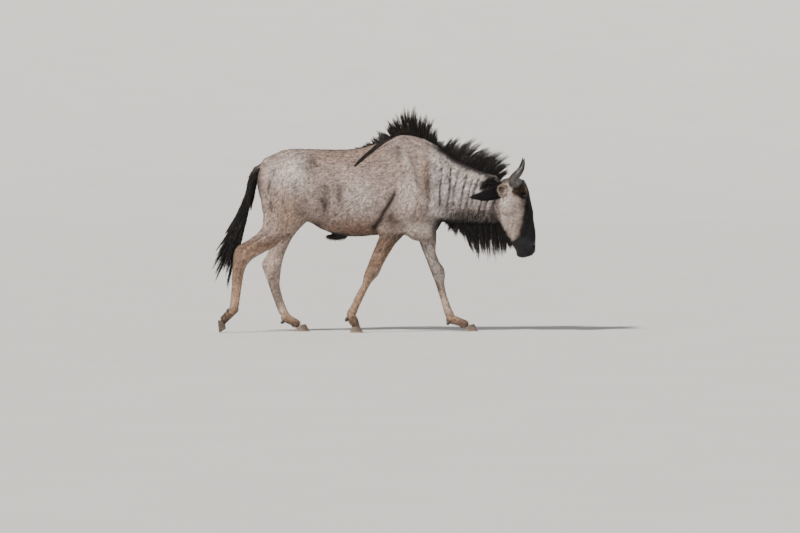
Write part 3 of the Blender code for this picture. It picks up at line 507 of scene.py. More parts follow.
LEG_PLANS = {
    "foreleg_right": LegPlan(
        (
            (1.150, 0.120, 0.300, 0.055, 0.070), (0.960, 0.060, 0.390, 0.085, 0.100),
            (0.820, 0.030, 0.385, 0.078, 0.125), (0.750, 0.026, 0.290, 0.068, 0.130),
            (0.690, 0.031, 0.212, 0.060, 0.132), (0.630, 0.014, 0.152, 0.051, 0.133),
            (0.560, -0.015, 0.106, 0.043, 0.133), (0.474, -0.049, 0.058, 0.036, 0.133),
            (0.410, -0.074, 0.029, 0.037, 0.133), (0.352, -0.086, -0.022, 0.030, 0.133),
            (0.265, -0.132, -0.068, 0.024, 0.133), (0.190, -0.168, -0.103, 0.024, 0.133),
            (0.140, -0.196, -0.122, 0.031, 0.133), (0.118, -0.202, -0.126, 0.034, 0.133),
        ),
        -1.0,
        ((-0.163, 0.112, 0.036), (-0.136, 0.058, 0.030)),
    ),
    "foreleg_left": LegPlan(
        (
            (1.150, 0.140, 0.330, 0.055, 0.070), (0.960, 0.120, 0.440, 0.085, 0.100),
            (0.820, 0.230, 0.460, 0.076, 0.118), (0.720, 0.285, 0.440, 0.060, 0.120),
            (0.640, 0.312, 0.434, 0.051, 0.120), (0.580, 0.333, 0.430, 0.045, 0.120),
            (0.500, 0.366, 0.452, 0.038, 0.120), (0.440, 0.388, 0.488, 0.037, 0.120),
            (0.400, 0.404, 0.496, 0.038, 0.120), (0.350, 0.424, 0.492, 0.030, 0.120),
            (0.300, 0.440, 0.498, 0.024, 0.120), (0.187, 0.474, 0.532, 0.024, 0.120),
            (0.120, 0.492, 0.560, 0.031, 0.120), (0.095, 0.498, 0.568, 0.034, 0.120),
        ),
        1.0,
        ((0.535, 0.090, 0.035), (0.632, 0.052, 0.030)),
    ),
    "hindleg_right": LegPlan(
        (
            (1.100, -0.740, -0.460, 0.080, 0.075), (1.000, -0.790, -0.430, 0.090, 0.096),
            (0.900, -0.798, -0.440, 0.086, 0.104), (0.824, -0.784, -0.465, 0.078, 0.106),
            (0.760, -0.790, -0.505, 0.068, 0.107), (0.702, -0.822, -0.556, 0.058, 0.108),
            (0.650, -0.890, -0.648, 0.048, 0.108), (0.600, -0.968, -0.708, 0.041, 0.108),
            (0.560, -0.986, -0.780, 0.037, 0.108), (0.513, -0.995, -0.858, 0.037, 0.108),
            (0.460, -0.999, -0.902, 0.034, 0.108), (0.400, -1.002, -0.920, 0.028, 0.108),
            (0.300, -1.009, -0.935, 0.025, 0.108), (0.215, -1.017, -0.947, 0.026, 0.108),
            (0.170, -1.025, -0.951, 0.034, 0.108),
        ),
        -1.0,
        ((-0.988, 0.165, 0.036), (-1.052, 0.096, 0.030)),
    ),
    "hindleg_left": LegPlan(
        (
            (1.100, -0.740, -0.460, 0.080, 0.075), (1.000, -0.780, -0.430, 0.090, 0.096),
            (0.900, -0.775, -0.430, 0.086, 0.104), (0.800, -0.752, -0.458, 0.074, 0.106),
            (0.735, -0.742, -0.520, 0.062, 0.107), (0.658, -0.730, -0.582, 0.050, 0.107),
            (0.600, -0.739, -0.612, 0.043, 0.107), (0.531, -0.770, -0.640, 0.038, 0.107),
            (0.467, -0.796, -0.655, 0.037, 0.107), (0.420, -0.785, -0.662, 0.033, 0.107),
            (0.343, -0.757, -0.670, 0.027, 0.107), (0.241, -0.722, -0.650, 0.025, 0.107),
            (0.150, -0.688, -0.616, 0.028, 0.107), (0.105, -0.672, -0.592, 0.034, 0.107),
        ),
        1.0,
        ((-0.630, 0.098, 0.036), (-0.556, 0.056, 0.030)),
    ),
}

DOCK_LINE = (
    (-0.780, 1.172, 0.030), (-0.826, 1.140, 0.030), (-0.856, 1.090, 0.027), (-0.870, 1.010, 0.024),
    (-0.884, 0.930, 0.021), (-0.905, 0.850, 0.016), (-0.925, 0.795, 0.009),
)
EYE_PLACE = (1.046, 0.0775, 0.964)
EYE_RADIUS = 0.0205


def crest_height(x: np.ndarray) -> np.ndarray:
    """Height of the skin on the crest of back and neck.

    Args:
        x: Places along the body, in the outline's own X.

    Returns:
        The heights of the crest.
    """
    back = curve_through(x, TRUNK_ROWS, 2)
    neck = curve_through(x, NECK_ROWS, 2)
    return np.where(np.asarray(x) < 0.43, back, neck)


def throat_height(x: np.ndarray) -> np.ndarray:
    """Height of the skin under the neck and along the lower jaw.

    Args:
        x: Places along the body, in the outline's own X.

    Returns:
        The heights of the throat.
    """
    jaw = sorted((rear, z) for z, rear, _, _ in HEAD_ROWS[1:8])
    under = np.interp(x, [spot[0] for spot in jaw], [spot[1] for spot in jaw])
    return np.where(np.asarray(x) < jaw[-1][0] - 0.14, curve_through(x, NECK_ROWS, 1), under)


# Markings of the hide


def screen(colour: Sequence[float]) -> np.ndarray:
    """A linear colour from three screen values of 0 to 255."""
    value = np.asarray(colour, dtype=float) / 255.0
    return np.where(value <= 0.04045, value / 12.92, ((value + 0.055) / 1.055) ** 2.4)


def line_distance(x: np.ndarray, z: np.ndarray, line: Sequence[tuple[float, float]]) -> tuple[np.ndarray, np.ndarray]:
    """Distance to a drawn line in the side view, and how far along it the nearest place is.

    Args:
        x: X of the points.
        z: Z of the points.
        line: Corners of the line.

    Returns:
        The distance in metres and the share of the line's corners passed, from 0 to 1.
    """
    best = np.full(np.shape(x), 1.0e9)
    share = np.zeros(np.shape(x))
    for number, (start, stop) in enumerate(zip(line, line[1:])):
        dx, dz = stop[0] - start[0], stop[1] - start[1]
        along = np.clip(((x - start[0]) * dx + (z - start[1]) * dz) / (dx * dx + dz * dz), 0.0, 1.0)
        away = np.hypot(x - start[0] - along * dx, z - start[1] - along * dz)
        nearer = away < best
        best = np.where(nearer, away, best)
        share = np.where(nearer, (number + along) / (len(line) - 1), share)
    return best, share


def patch(x: np.ndarray, z: np.ndarray, centre: tuple[float, float], sizes: tuple[float, float]) -> np.ndarray:
    """A soft round patch in the side view, 1 at its centre."""
    return np.exp(-(((x - centre[0]) / sizes[0]) ** 2) - ((z - centre[1]) / sizes[1]) ** 2)


class Canvas:
    """Colours of many points, painted layer on layer."""

    def __init__(self, count: int, ground: Sequence[float]) -> None:
        """Prime every point.

        Args:
            count: How many points.
            ground: The ground colour, in screen values.
        """
        self.rgb = np.tile(screen(ground), (count, 1))

    def lay(self, weight: np.ndarray, colour: Sequence[float]) -> None:
        """Glaze a colour over the points.

        Args:
            weight: How much of it each point takes.
            colour: The colour, in screen values.
        """
        self.rgb += (screen(colour) - self.rgb) * np.clip(weight, 0.0, 1.0)[:, None]

    def shade(self, factor: np.ndarray) -> None:
        """Make the points lighter or darker."""
        self.rgb *= np.maximum(factor, 0.02)[:, None]


SHOULDER_CREASE = ((0.178, 1.080), (0.128, 0.943), (0.058, 0.831), (0.040, 0.789), (0.000, 0.740))
BLADE_RIDGE = ((0.215, 1.270), (0.262, 1.120), (0.330, 0.930))
SHOULDER_FRONT = ((0.372, 1.190), (0.386, 1.060), (0.392, 0.950), (0.380, 0.860))
THIGH_GROOVE = ((-0.705, 1.150), (-0.742, 1.000), (-0.720, 0.860))
JAW_GROOVE = ((0.850, 0.960), (0.834, 0.900), (0.832, 0.830), (0.850, 0.780))
LIP_LINE = ((1.030, 0.607), (1.052, 0.596), (1.070, 0.574), (1.092, 0.556), (1.116, 0.551))
MASK_EDGE = ((1.062, 1.010), (1.052, 0.930), (1.058, 0.860), (1.050, 0.773), (1.008, 0.660), (0.960, 0.625))
GLAND = (1.071, 0.855)
STRIPE_COUNT = 10
STRIPE_FIRST = 0.462
STRIPE_STEP = 0.0435
HEAD_START = (0.800, 0.870)


def stripe_lines() -> list[tuple[tuple[float, float], tuple[float, float], tuple[float, float]]]:
    """The dark brindle stripes of the neck, each as a bottom, middle and top place in the side view.

    Returns:
        The stripes from the shoulder to the head.
    """
    rng = np.random.default_rng(11)
    lines = []
    for number in range(STRIPE_COUNT):
        foot = STRIPE_FIRST + STRIPE_STEP * number + rng.uniform(-0.006, 0.006)
        slant = 0.06 + 0.045 * number + rng.uniform(-0.02, 0.02)
        low = 0.850 + rng.uniform(-0.035, 0.05)
        top = float(crest_height(np.array(foot))) - 0.075 + rng.uniform(-0.03, 0.015)
        rise = top - low
        middle = (foot + 0.5 * slant * rise + rng.uniform(-0.008, 0.008), 0.5 * (low + top))
        lines.append(((foot, low), middle, (foot + slant * rise, top)))
    return lines


STRIPES = stripe_lines()


def stripe_weight(points: np.ndarray) -> np.ndarray:
    """How much each point lies in a stripe of the neck.

    Args:
        points: The points.

    Returns:
        From 0 to 1.
    """
    x = points[:, 0] + 0.006 * noise(points, (14.0, 14.0, 20.0), 5)
    z = points[:, 2]
    total = np.zeros(len(points))
    for number, line in enumerate(STRIPES):
        near = np.abs(x - line[1][0]) < 0.12
        away, along = line_distance(x[near], z[near], line)
        width = 0.0075 * (0.55 + 0.45 * np.sin(np.pi * along)) * (1.15 if number % 2 else 0.85)
        end = ramp(along, 0.0, 0.12) * ramp(along, 1.0, 0.86)
        total[near] = np.maximum(total[near], bell(away, width) * end)
    return total


@dataclass(frozen=True)
class Hide:
    """The colours of the hide by region, in screen values, and where they lie, with painted light on bulges and painted
    shade in folds, recesses and undersides.
    """

    grey: Sequence[float] = (172, 151, 140)
    # pale cream: painted highlights on the body's bulges, shoulder blade and inner legs, and paler hair on neck, knees
    # and cheek
    pale: Sequence[float] = (232, 216, 207)
    back: Sequence[float] = (150, 125, 112)
    hump: Sequence[float] = (160, 142, 134)
    # dark brown for painted shade in the folds and grooves of flank, thigh and shoulder
    flank: Sequence[float] = (48, 39, 36)
    # brown: painted shade on the lower belly
    belly: Sequence[float] = (140, 100, 76)
    # dark brown: own colour of the fetlocks, the backs of the legs and the edge of the face mask, and painted shade
    # under the belly, in the groin, behind the elbow and in the jaw groove
    under: Sequence[float] = (70, 53, 43)
    ochre: Sequence[float] = (168, 134, 106)
    leg: Sequence[float] = (148, 118, 98)
    leg_low: Sequence[float] = (164, 134, 110)
    neck: Sequence[float] = (228, 214, 208)
    neck_low: Sequence[float] = (160, 144, 137)
    # near-black: the neck's stripes, and painted shade in the crease behind the shoulder
    stripe: Sequence[float] = (30, 26, 26)
    cheek: Sequence[float] = (176, 157, 146)
    brow: Sequence[float] = (76, 58, 48)
    mask: Sequence[float] = (18, 17, 21)
    # near-black: dark hair along spine, mane base, throat and head, and painted shade round the sheath, on the rear of
    # the thighs, between the buttocks and under the chest
    soot: Sequence[float] = (30, 26, 26)
    # pale cream for painted light on the brisket and the chest
    brisket: Sequence[float] = (238, 220, 204)
    chest: Sequence[float] = (232, 216, 208)
    daylight: Sequence[float] = (0.78, 0.80, 0.83)

    def colours(self, points: np.ndarray) -> np.ndarray:
        """Linear colours of the hide.

        Args:
            points: Places on the hide, in the outline's own X.

        Returns:
            Rows of red, green and blue.
        """
        x, z = points[:, 0], points[:, 2]
        out = np.abs(points[:, 1])
        coarse = noise(points, (9.0, 9.0, 9.0), 1)
        medium = noise(points, (26.0, 40.0, 34.0), 2)
        fine = noise(points, (60.0, 130.0, 110.0), 3)
        upright = noise(points, (120.0, 120.0, 22.0), 4)
        head = ramp(x, *HEAD_START)
        low = ramp(z, 0.72, 0.60) * (1.0 - head)
        canvas = Canvas(len(points), self.grey)
        self.paint_trunk(canvas, points, medium, upright)
        self.paint_neck(canvas, points, medium)
        canvas.lay(low, self.leg)
        canvas.lay(ramp(z, 0.50, 0.30) * (1.0 - head), self.leg_low)
        self.paint_legs(canvas, points, low)
        # Painted shade round the sheath under the belly.
        sheath = ramp(z, 0.712, 0.698) * ramp(x, -0.40, -0.37) * ramp(x, -0.16, -0.20) * (z > 0.60) * (out < 0.07)
        canvas.lay(sheath, self.soot)
        crest = crest_height(x)
        trunk_top = (1.0 - head) * ramp(out, 0.022, 0.006) * (z > crest - 0.03)
        canvas.lay(0.85 * trunk_top, self.soot)
        dock = ramp(x, -0.835, -0.855) * (z > 0.76) * (out < 0.045)
        canvas.lay(dock, self.mask)
        streak = 1.0 + 0.12 * coarse + 0.20 * medium + 0.26 * fine
        canvas.shade(np.where(head > 0.5, 1.0 + 0.16 * medium + 0.22 * fine, streak))
        self.paint_head(canvas, points, head, medium)
        return np.clip(canvas.rgb * self.daylight, 0.002, 0.95)

    def paint_trunk(self, canvas: Canvas, points: np.ndarray, medium: np.ndarray, upright: np.ndarray) -> None:
        """Paint back, barrel, belly, rump and shoulder, with painted highlights on the bulges and painted shade in
        folds, recesses and under the belly and chest.

        Args:
            canvas: What is painted.
            points: The places.
            medium: Noise of hand size.
            upright: Noise of upright streaks.
        """
        x, z = points[:, 0], points[:, 2]
        out = np.abs(points[:, 1])
        canvas.lay(0.75 * ramp(z, 1.12, 1.24) * ramp(x, -0.56, -0.44) * ramp(x, 0.20, 0.02), self.back)
        canvas.lay(0.7 * ramp(z, 1.20, 1.32) * ramp(x, 0.0, 0.14), self.hump)
        # Painted highlights where rump, shoulder, barrel and thigh bulge towards the light.
        canvas.lay(0.85 * patch(x, z, (-0.545, 1.120), (0.095, 0.120)), self.pale)
        canvas.lay(0.55 * patch(x, z, (0.230, 0.990), (0.060, 0.120)), self.pale)
        canvas.lay(0.55 * patch(x, z, (-0.100, 0.960), (0.130, 0.110)), self.pale)
        canvas.lay(0.5 * patch(x, z, (-0.690, 1.110), (0.070, 0.080)), self.pale)
        # Painted shade in the groove in front of the thigh, broken by upright streaks.
        dark = 1.15 * patch(x, z, (-0.352, 0.905), (0.047, 0.125)) * (0.72 + 0.40 * upright)
        canvas.lay(0.95 * dark, self.flank)
        # Painted shade in ragged folds on the flank.
        ragged_shade = patch(x, z, (-0.255, 0.950), (0.075, 0.095)) * ramp(noise(points, (48.0, 30.0, 9.0), 6), -0.05, 0.5)
        canvas.lay(0.7 * ragged_shade, self.flank)
        # Painted shade: brown on the lower belly, darker along its bottom edge and in the groin.
        belly = ramp(z, 0.845, 0.735) * ramp(x, -0.42, -0.30) * ramp(x, 0.10, -0.02)
        canvas.lay(belly * (0.55 + 0.45 * medium), self.belly)
        canvas.lay(0.8 * ramp(z, 0.735, 0.675) * ramp(x, -0.44, -0.36) * ramp(x, 0.62, 0.52), self.under)
        canvas.lay(0.9 * patch(x, z, (-0.410, 0.750), (0.055, 0.045)) * (out < 0.19), self.under)
        # Painted shade along the sheath, laid a second time.
        canvas.lay(ramp(z, 0.705, 0.690) * ramp(x, -0.40, -0.36) * ramp(x, -0.16, -0.20), self.soot)
        thigh = patch(x, z, (-0.620, 0.820), (0.115, 0.125))
        canvas.lay(thigh * (0.55 + 0.25 * medium), self.ochre)
        # Painted shade in the groove on the thigh.
        groove, along = line_distance(x, z, THIGH_GROOVE)
        canvas.lay(0.85 * bell(groove, 0.018) * ramp(upright, -0.6, 0.5), self.flank)
        # Painted shade on the rear edge of the thighs.
        rear = ramp(x, -0.770, -0.815) * ramp(z, 0.70, 0.80)
        canvas.lay(rear * (0.55 + 0.3 * upright), self.soot)
        # Painted shade in the cleft between the buttocks.
        cleft = ramp(out, 0.040, 0.010) * ramp(x, -0.66, -0.76) * ramp(z, 1.20, 1.12)
        canvas.lay(cleft, self.soot)
        # Painted shade in the crease behind the shoulder, in the stripes' colour.
        crease, along = line_distance(x, z, SHOULDER_CREASE)
        canvas.lay(0.95 * bell(crease, 0.014 + 0.014 * along) * ramp(along, 0.0, 0.25), self.stripe)
        # Painted shade behind the elbow.
        canvas.lay(patch(x, z, (0.115, 0.795), (0.055, 0.075)) * (0.9 + 0.4 * medium), self.under)
        # Painted shade in the small groove at the top of the shoulder blade.
        canvas.lay(0.45 * patch(x, z, (0.165, 1.260), (0.030, 0.060)), self.flank)
        # Painted highlight along the ridge of the shoulder blade.
        blade, along = line_distance(x, z, BLADE_RIDGE)
        canvas.lay(0.35 * bell(blade, 0.026), self.pale)
        # Painted shade in the line along the front of the shoulder.
        front, along = line_distance(x, z, SHOULDER_FRONT)
        canvas.lay(0.65 * bell(front, 0.012), self.flank)
        warm = patch(x, z, (0.345, 1.060), (0.045, 0.130)) * (0.6 + 0.5 * medium)
        canvas.lay(0.6 * warm, self.ochre)
        # Painted light on the brisket.
        canvas.lay(ramp(z, 0.80, 0.73) * ramp(x, 0.20, 0.26) * ramp(x, 0.46, 0.40), self.brisket)
        # Painted shade along the underside of the chest.
        canvas.lay(0.9 * ramp(z, 0.690, 0.655) * ramp(x, 0.18, 0.26) * ramp(x, 0.52, 0.42), self.soot)

    def paint_neck(self, canvas: Canvas, points: np.ndarray, medium: np.ndarray) -> None:
        """Paint the neck: pale above, darker below, with dark upright stripes and painted light on the chest.

        Args:
            canvas: What is painted.
            points: The places.
            medium: Not used.
        """
        x, z = points[:, 0], points[:, 2]
        share = ramp(x, 0.36, 0.46)
        canvas.lay(share, self.neck)
        canvas.lay(0.8 * share * ramp(z, 1.02, 0.86), self.neck_low)
        # Painted light on the chest.
        canvas.lay(0.95 * patch(x, z, (0.430, 0.860), (0.055, 0.080)), self.chest)
        below = crest_height(x) - z
        band = share * ramp(below, 0.035, 0.060) * ramp(below, 0.150, 0.110)
        canvas.lay(0.85 * band, self.pale)
        canvas.lay(0.9 * share * ramp(below, 0.050, 0.015), self.soot)
        canvas.lay(0.88 * stripe_weight(points), self.stripe)
        under = z - throat_height(x)
        canvas.lay(share * ramp(under, 0.055, 0.015), self.soot)

    def paint_legs(self, canvas: Canvas, points: np.ndarray, low: np.ndarray) -> None:
        """Paint knees, hocks, fetlocks and the darker back of each leg, and painted light on the inner sides of the
        legs.

        Args:
            canvas: What is painted.
            points: The places.
            low: How much each place belongs to a leg.
        """
        x, z = points[:, 0], points[:, 2]
        for plan, mask in legs_at(points):
            share = leg_share(plan, points)
            canvas.lay(0.35 * low * mask * ramp(share, 0.30, 0.02), self.under)
            knee = plan.rows[-1][0] + (0.30 if plan.rows[0][0] > 1.12 else 0.36)
            canvas.lay(0.30 * mask * bell(z - knee, 0.05) * ramp(share, 0.55, 0.95), self.pale)
            canvas.lay(0.55 * mask * ramp(z, plan.rows[-1][0] + 0.02, plan.rows[-1][0] - 0.05), self.under)
        # Painted light on the inner sides of the legs, strongest on the far foreleg.
        inner = ramp(np.abs(points[:, 1]), 0.115, 0.085) * ramp(z, 0.80, 0.62) * ramp(z, 0.10, 0.20) * (x < 0.8)
        canvas.lay((0.34 + 0.50 * (x > 0.2)) * inner * low, self.pale)

    def paint_head(self, canvas: Canvas, points: np.ndarray, head: np.ndarray, medium: np.ndarray) -> None:
        """Paint the cheek grey and the face, muzzle, brow and jaw dark, with painted shade in the jaw groove and
        between the lips.

        Args:
            canvas: What is painted.
            points: The places.
            head: How much each place belongs to the head.
            medium: Noise of hand size.
        """
        x, z = points[:, 0], points[:, 2]
        canvas.lay(head, self.cheek)
        canvas.lay(0.55 * head * patch(x, z, (0.930, 0.900), (0.055, 0.080)), self.pale)
        boundary = np.interp(z, [spot[1] for spot in MASK_EDGE[::-1]], [spot[0] for spot in MASK_EDGE[::-1]])
        shift = x - boundary + 0.014 * medium
        canvas.lay(0.55 * head * ramp(z, 1.00, 0.94) * ramp(shift, -0.055, -0.010), self.under)
        canvas.lay(head * ramp(z, 1.03, 0.97) * ramp(shift, -0.022, 0.014), self.mask)
        canvas.lay(head * ramp(z, 0.655, 0.625), self.mask)
        brow = head * ramp(z, 0.955, 0.990) * ramp(x, 0.985, 1.015)
        canvas.lay(0.85 * brow, self.brow)
        canvas.lay(head * ramp(x, 1.068, 1.080) * ramp(z, 1.08, 1.0), self.mask)
        canvas.lay(0.9 * head * ramp(np.abs(points[:, 1]), 0.030, 0.018) * ramp(x, 1.0, 1.04) * (z > 0.9), self.mask)
        canvas.lay(0.75 * head * ramp(z, 1.035, 1.065), self.soot)
        jaw = x - np.interp(z, [row[0] for row in HEAD_ROWS], [row[1] for row in HEAD_ROWS])
        canvas.lay(0.9 * head * ramp(jaw, 0.030, 0.008) * ramp(z, 0.90, 0.80), self.soot)
        canvas.lay(0.45 * patch(x, z, (GLAND[0] - 0.018, GLAND[1]), (0.012, 0.034)), self.cheek)
        canvas.lay(0.9 * patch(x, z, GLAND, (0.009, 0.022)), self.mask)
        away = np.sqrt((x - EYE_PLACE[0]) ** 2 + (z - EYE_PLACE[2]) ** 2)
        rim = np.abs(points[:, 1]) > 0.055
        above = ramp(z, EYE_PLACE[2], EYE_PLACE[2] + 0.02)
        canvas.lay(0.6 * bell(away - 0.032, 0.010) * above * rim, (112, 86, 70))
        canvas.lay(ramp(away, 0.030, 0.022) * rim, self.mask)
        # Painted shade in the groove behind the jaw.
        crease, _ = line_distance(x, z, JAW_GROOVE)
        canvas.lay(0.6 * bell(crease, 0.010), self.under)
        # Painted shade in the line between the lips.
        lip, _ = line_distance(x, z, LIP_LINE)
        canvas.lay(0.8 * bell(lip, 0.005), (10, 9, 10))


def legs_at(points: np.ndarray) -> list[tuple[LegPlan, np.ndarray]]:
    """Each leg's plan with a mask of the places that belong to it.

    Args:
        points: The places.

    Returns:
        Pairs of plan and mask.
    """
    x, y, z = points.T
    found = []
    for name, plan in LEG_PLANS.items():
        fore = x > -0.35
        mask = (fore if name.startswith("fore") else ~fore) & (y * plan.side > 0.0) & (z < 0.80) & (x < 0.78)
        found.append((plan, mask.astype(float)))
    return found


def leg_share(plan: LegPlan, points: np.ndarray) -> np.ndarray:
    """How far from the rear edge to the front edge of a leg each place lies.

    Args:
        plan: The leg.
        points: The places.

    Returns:
        0 at the rear edge and 1 at the front.
    """
    rear = curve_through(points[:, 2], plan.rows, 1)
    front = curve_through(points[:, 2], plan.rows, 2)
    return np.clip((points[:, 0] - rear) / (front - rear), 0.0, 1.0)


def relief(points: np.ndarray) -> np.ndarray:
    """Folds, hollows and bones of the hide, as a height along its normal.

    Args:
        points: Places on the hide.

    Returns:
        Heights in metres, negative where the hide sinks.
    """
    x, y, z = points.T
    out = np.abs(y)
    height = np.zeros(len(points))
    away, along = line_distance(x, z, SHOULDER_CREASE)
    height -= 0.0085 * bell(away, 0.016) * ramp(along, 0.0, 0.25) * (out > 0.06)
    away, along = line_distance(x, z, BLADE_RIDGE)
    height += 0.0045 * bell(away, 0.018) * ramp(along, 0.0, 0.15) * ramp(along, 1.0, 0.8)
    height -= 0.0035 * bell(away - 0.034, 0.016) * ramp(along, 0.0, 0.2) * ramp(along, 1.0, 0.75)
    away, along = line_distance(x, z, SHOULDER_FRONT)
    height -= 0.0065 * bell(away, 0.015) * ramp(along, 0.0, 0.2)
    away, along = line_distance(x, z, THIGH_GROOVE)
    height -= 0.0060 * bell(away, 0.015) * ramp(along, 0.0, 0.2) * ramp(along, 1.0, 0.8)
    away, along = line_distance(x, z, ((-0.500, 1.170), (-0.560, 1.020), (-0.470, 0.840)))
    height -= 0.0040 * bell(away, 0.025) * ramp(along, 0.1, 0.4)
    height -= 0.0110 * patch(x, z, (-0.372, 1.125), (0.065, 0.060)) * (out > 0.05)
    height += 0.0050 * patch(x, z, (-0.500, 1.225), (0.045, 0.028)) * (out > 0.05)
    rib = np.sin((x + 0.30 * (z - 1.0)) * 2.0 * np.pi / 0.047)
    height += 0.0013 * rib * patch(x, z, (-0.120, 0.960), (0.150, 0.120))
    height -= 0.0028 * stripe_weight(points)
    height += 0.0016 * noise(points, (16.0, 16.0, 12.0), 21) * ramp(z, 0.60, 0.75)
    height -= 0.0060 * bell(line_distance(x, z, JAW_GROOVE)[0], 0.012) * (out > 0.03)
    height -= 0.0045 * bell(line_distance(x, z, LIP_LINE)[0], 0.0042) * (x > 1.0)
    gland = np.hypot((x - GLAND[0]) / 0.011, (z - GLAND[1]) / 0.024)
    height += (0.0022 * bell(gland - 1.0, 0.45) - 0.0030 * bell(gland, 0.55)) * (out > 0.03)
    height -= 0.0030 * ramp(out, 0.006, 0.0) * ramp(x, 1.115, 1.125) * ramp(z, 0.66, 0.63)
    wrinkle = np.sin((z - 0.35 * x) * 2.0 * np.pi / 0.0135)
    height += 0.0007 * wrinkle * patch(x, z, (1.075, 0.640), (0.045, 0.030)) * (x > 0.99)
    for plan, mask in legs_at(points):
        height += mask * leg_relief(plan, points, name_is_fore=plan.rows[0][0] > 1.12)
    return height


def leg_relief(plan: LegPlan, points: np.ndarray, name_is_fore: bool) -> np.ndarray:
    """Tendon grooves and joint bones of one leg.

    Args:
        plan: The leg.
        points: The places.
        name_is_fore: True for a foreleg.

    Returns:
        Heights in metres.
    """
    z = points[:, 2]
    share = leg_share(plan, points)
    side = ramp(np.abs(points[:, 1] - plan.foot_y), 0.010, 0.022)
    base = plan.rows[-1][0]
    knee = base + (0.30 if name_is_fore else 0.36)
    cannon = ramp(z, base + 0.03, base + 0.07) * ramp(z, knee - 0.02, knee - 0.07)
    height = -0.0042 * cannon * bell(share - 0.40, 0.13) * side
    height -= 0.0026 * cannon * bell(share - 0.72, 0.08) * side
    height += 0.0032 * bell(z - knee, 0.028) * side * bell(share - 0.62, 0.35)
    height -= 0.0022 * bell(z - knee - 0.045, 0.014) * side
    height += 0.0022 * bell(z - base - 0.004, 0.018) * side
    if name_is_fore:
        height -= 0.0050 * ramp(z, knee + 0.08, knee + 0.14) * bell(share - 0.42, 0.10) * side * ramp(z, 0.74, 0.66)
    else:
        height -= 0.0105 * bell(z - knee - 0.105, 0.075) * bell(share - 0.27, 0.11) * side
        height += 0.0040 * bell(z - knee - 0.030, 0.030) * bell(share - 0.05, 0.20)
    return height


# The lie, length and unwrap of the coat


def lie_of_coat(points: np.ndarray) -> np.ndarray:
    """The direction from root to tip of the hair at each place.

    Args:
        points: Places on the hide.

    Returns:
        Unit vectors, not yet laid flat on the hide.
    """
    x, y, z = points.T
    side = np.sign(y)
    lie = np.stack((np.full(len(x), -1.0), np.zeros(len(x)), -0.22 - 0.9 * ramp(z, 1.15, 0.80)), axis=-1)

    def turn(weight: np.ndarray, direction: Sequence[float]) -> None:
        """Turn the lie towards a direction where weight is high."""
        nonlocal lie
        lie = lie * (1.0 - weight[:, None]) + np.asarray(direction) * weight[:, None]

    turn(patch(x, z, (0.260, 1.000), (0.130, 0.220)), (-0.45, 0.0, -0.90))
    turn(patch(x, z, (-0.640, 0.940), (0.130, 0.220)), (-0.30, 0.0, -0.95))
    turn(ramp(x, 0.36, 0.50), (-0.62, 0.0, -0.78))
    turn(ramp(z, 0.78, 0.66) * (x < 0.8), (-0.05, 0.0, -1.0))
    head = ramp(x, *HEAD_START)
    turn(head, (-0.55, 0.0, -0.83))
    turn(head * ramp(x, 1.00, 1.06), (-0.10, 0.0, -1.0))
    turn(head * ramp(z, 0.68, 0.60), (-0.55, 0.0, -0.60))
    swirl = 0.16 * noise(points, (5.0, 5.0, 5.0), 31)
    lie[:, 1] = side * 0.10 * ramp(z, 1.20, 1.30)
    lie[:, 2] += swirl
    for plan, mask in legs_at(points):
        slope = (plan.centre(z - 0.02) - plan.centre(z)) / 0.02
        weight = mask * ramp(z, 0.70, 0.60)
        lie[:, 0] = lie[:, 0] * (1.0 - weight) + slope * weight
    return lie / np.linalg.norm(lie, axis=1)[:, None]


def coat_length(points: np.ndarray) -> np.ndarray:
    """Length of the hair at each place, in metres.

    Args:
        points: Places on the hide.

    Returns:
        The lengths.
    """
    x, z = points[:, 0], points[:, 2]
    length = np.full(len(points), 0.023)
    length += 0.006 * ramp(x, 0.36, 0.50)
    length += 0.010 * ramp(z, 0.72, 0.68) * (x > -0.4) * (x < 0.55)
    length *= 1.0 - 0.45 * ramp(z, 0.72, 0.55) * (x < 0.8)
    length *= 1.0 - 0.20 * ramp(z, 0.40, 0.20)
    head = ramp(x, *HEAD_START)
    length = length * (1.0 - head) + 0.0125 * head
    length *= 1.0 - 0.45 * head * ramp(z, 0.70, 0.60)
    return length


@dataclass(frozen=True)
class Chart:
    """A rectangle of the coat's unwrap."""

    left: float
    bottom: float
    width: float
    height: float

    def place(self, u: np.ndarray, v: np.ndarray) -> np.ndarray:
        """Places in the chart, a little inside its edges.

        Args:
            u: Shares of its width.
            v: Shares of its height.

        Returns:
            Rows of u and v.
        """
        across = self.left + self.width * (0.01 + 0.98 * np.clip(u, 0.0, 1.0))
        up = self.bottom + self.height * (0.01 + 0.98 * np.clip(v, 0.0, 1.0))
        return np.stack((across, up), axis=-1)


BODY_CHART = Chart(0.00, 0.40, 0.76, 0.60)
HEAD_CHART = Chart(0.76, 0.40, 0.24, 0.40)
MANE_CHART = Chart(0.00, 0.00, 0.50, 0.10)
BEARD_CHART = Chart(0.50, 0.00, 0.25, 0.10)
BRUSH_CHART = Chart(0.75, 0.00, 0.15, 0.10)
FALL_CHART = Chart(0.90, 0.00, 0.10, 0.10)
EAR_CHARTS = {Side.RIGHT: Chart(0.76, 0.80, 0.12, 0.20), Side.LEFT: Chart(0.88, 0.80, 0.12, 0.20)}
LEG_CHARTS = {name: Chart(0.25 * number, 0.10, 0.25, 0.30) for number, name in enumerate(LEG_PLANS)}
LEG_TOP = 0.72


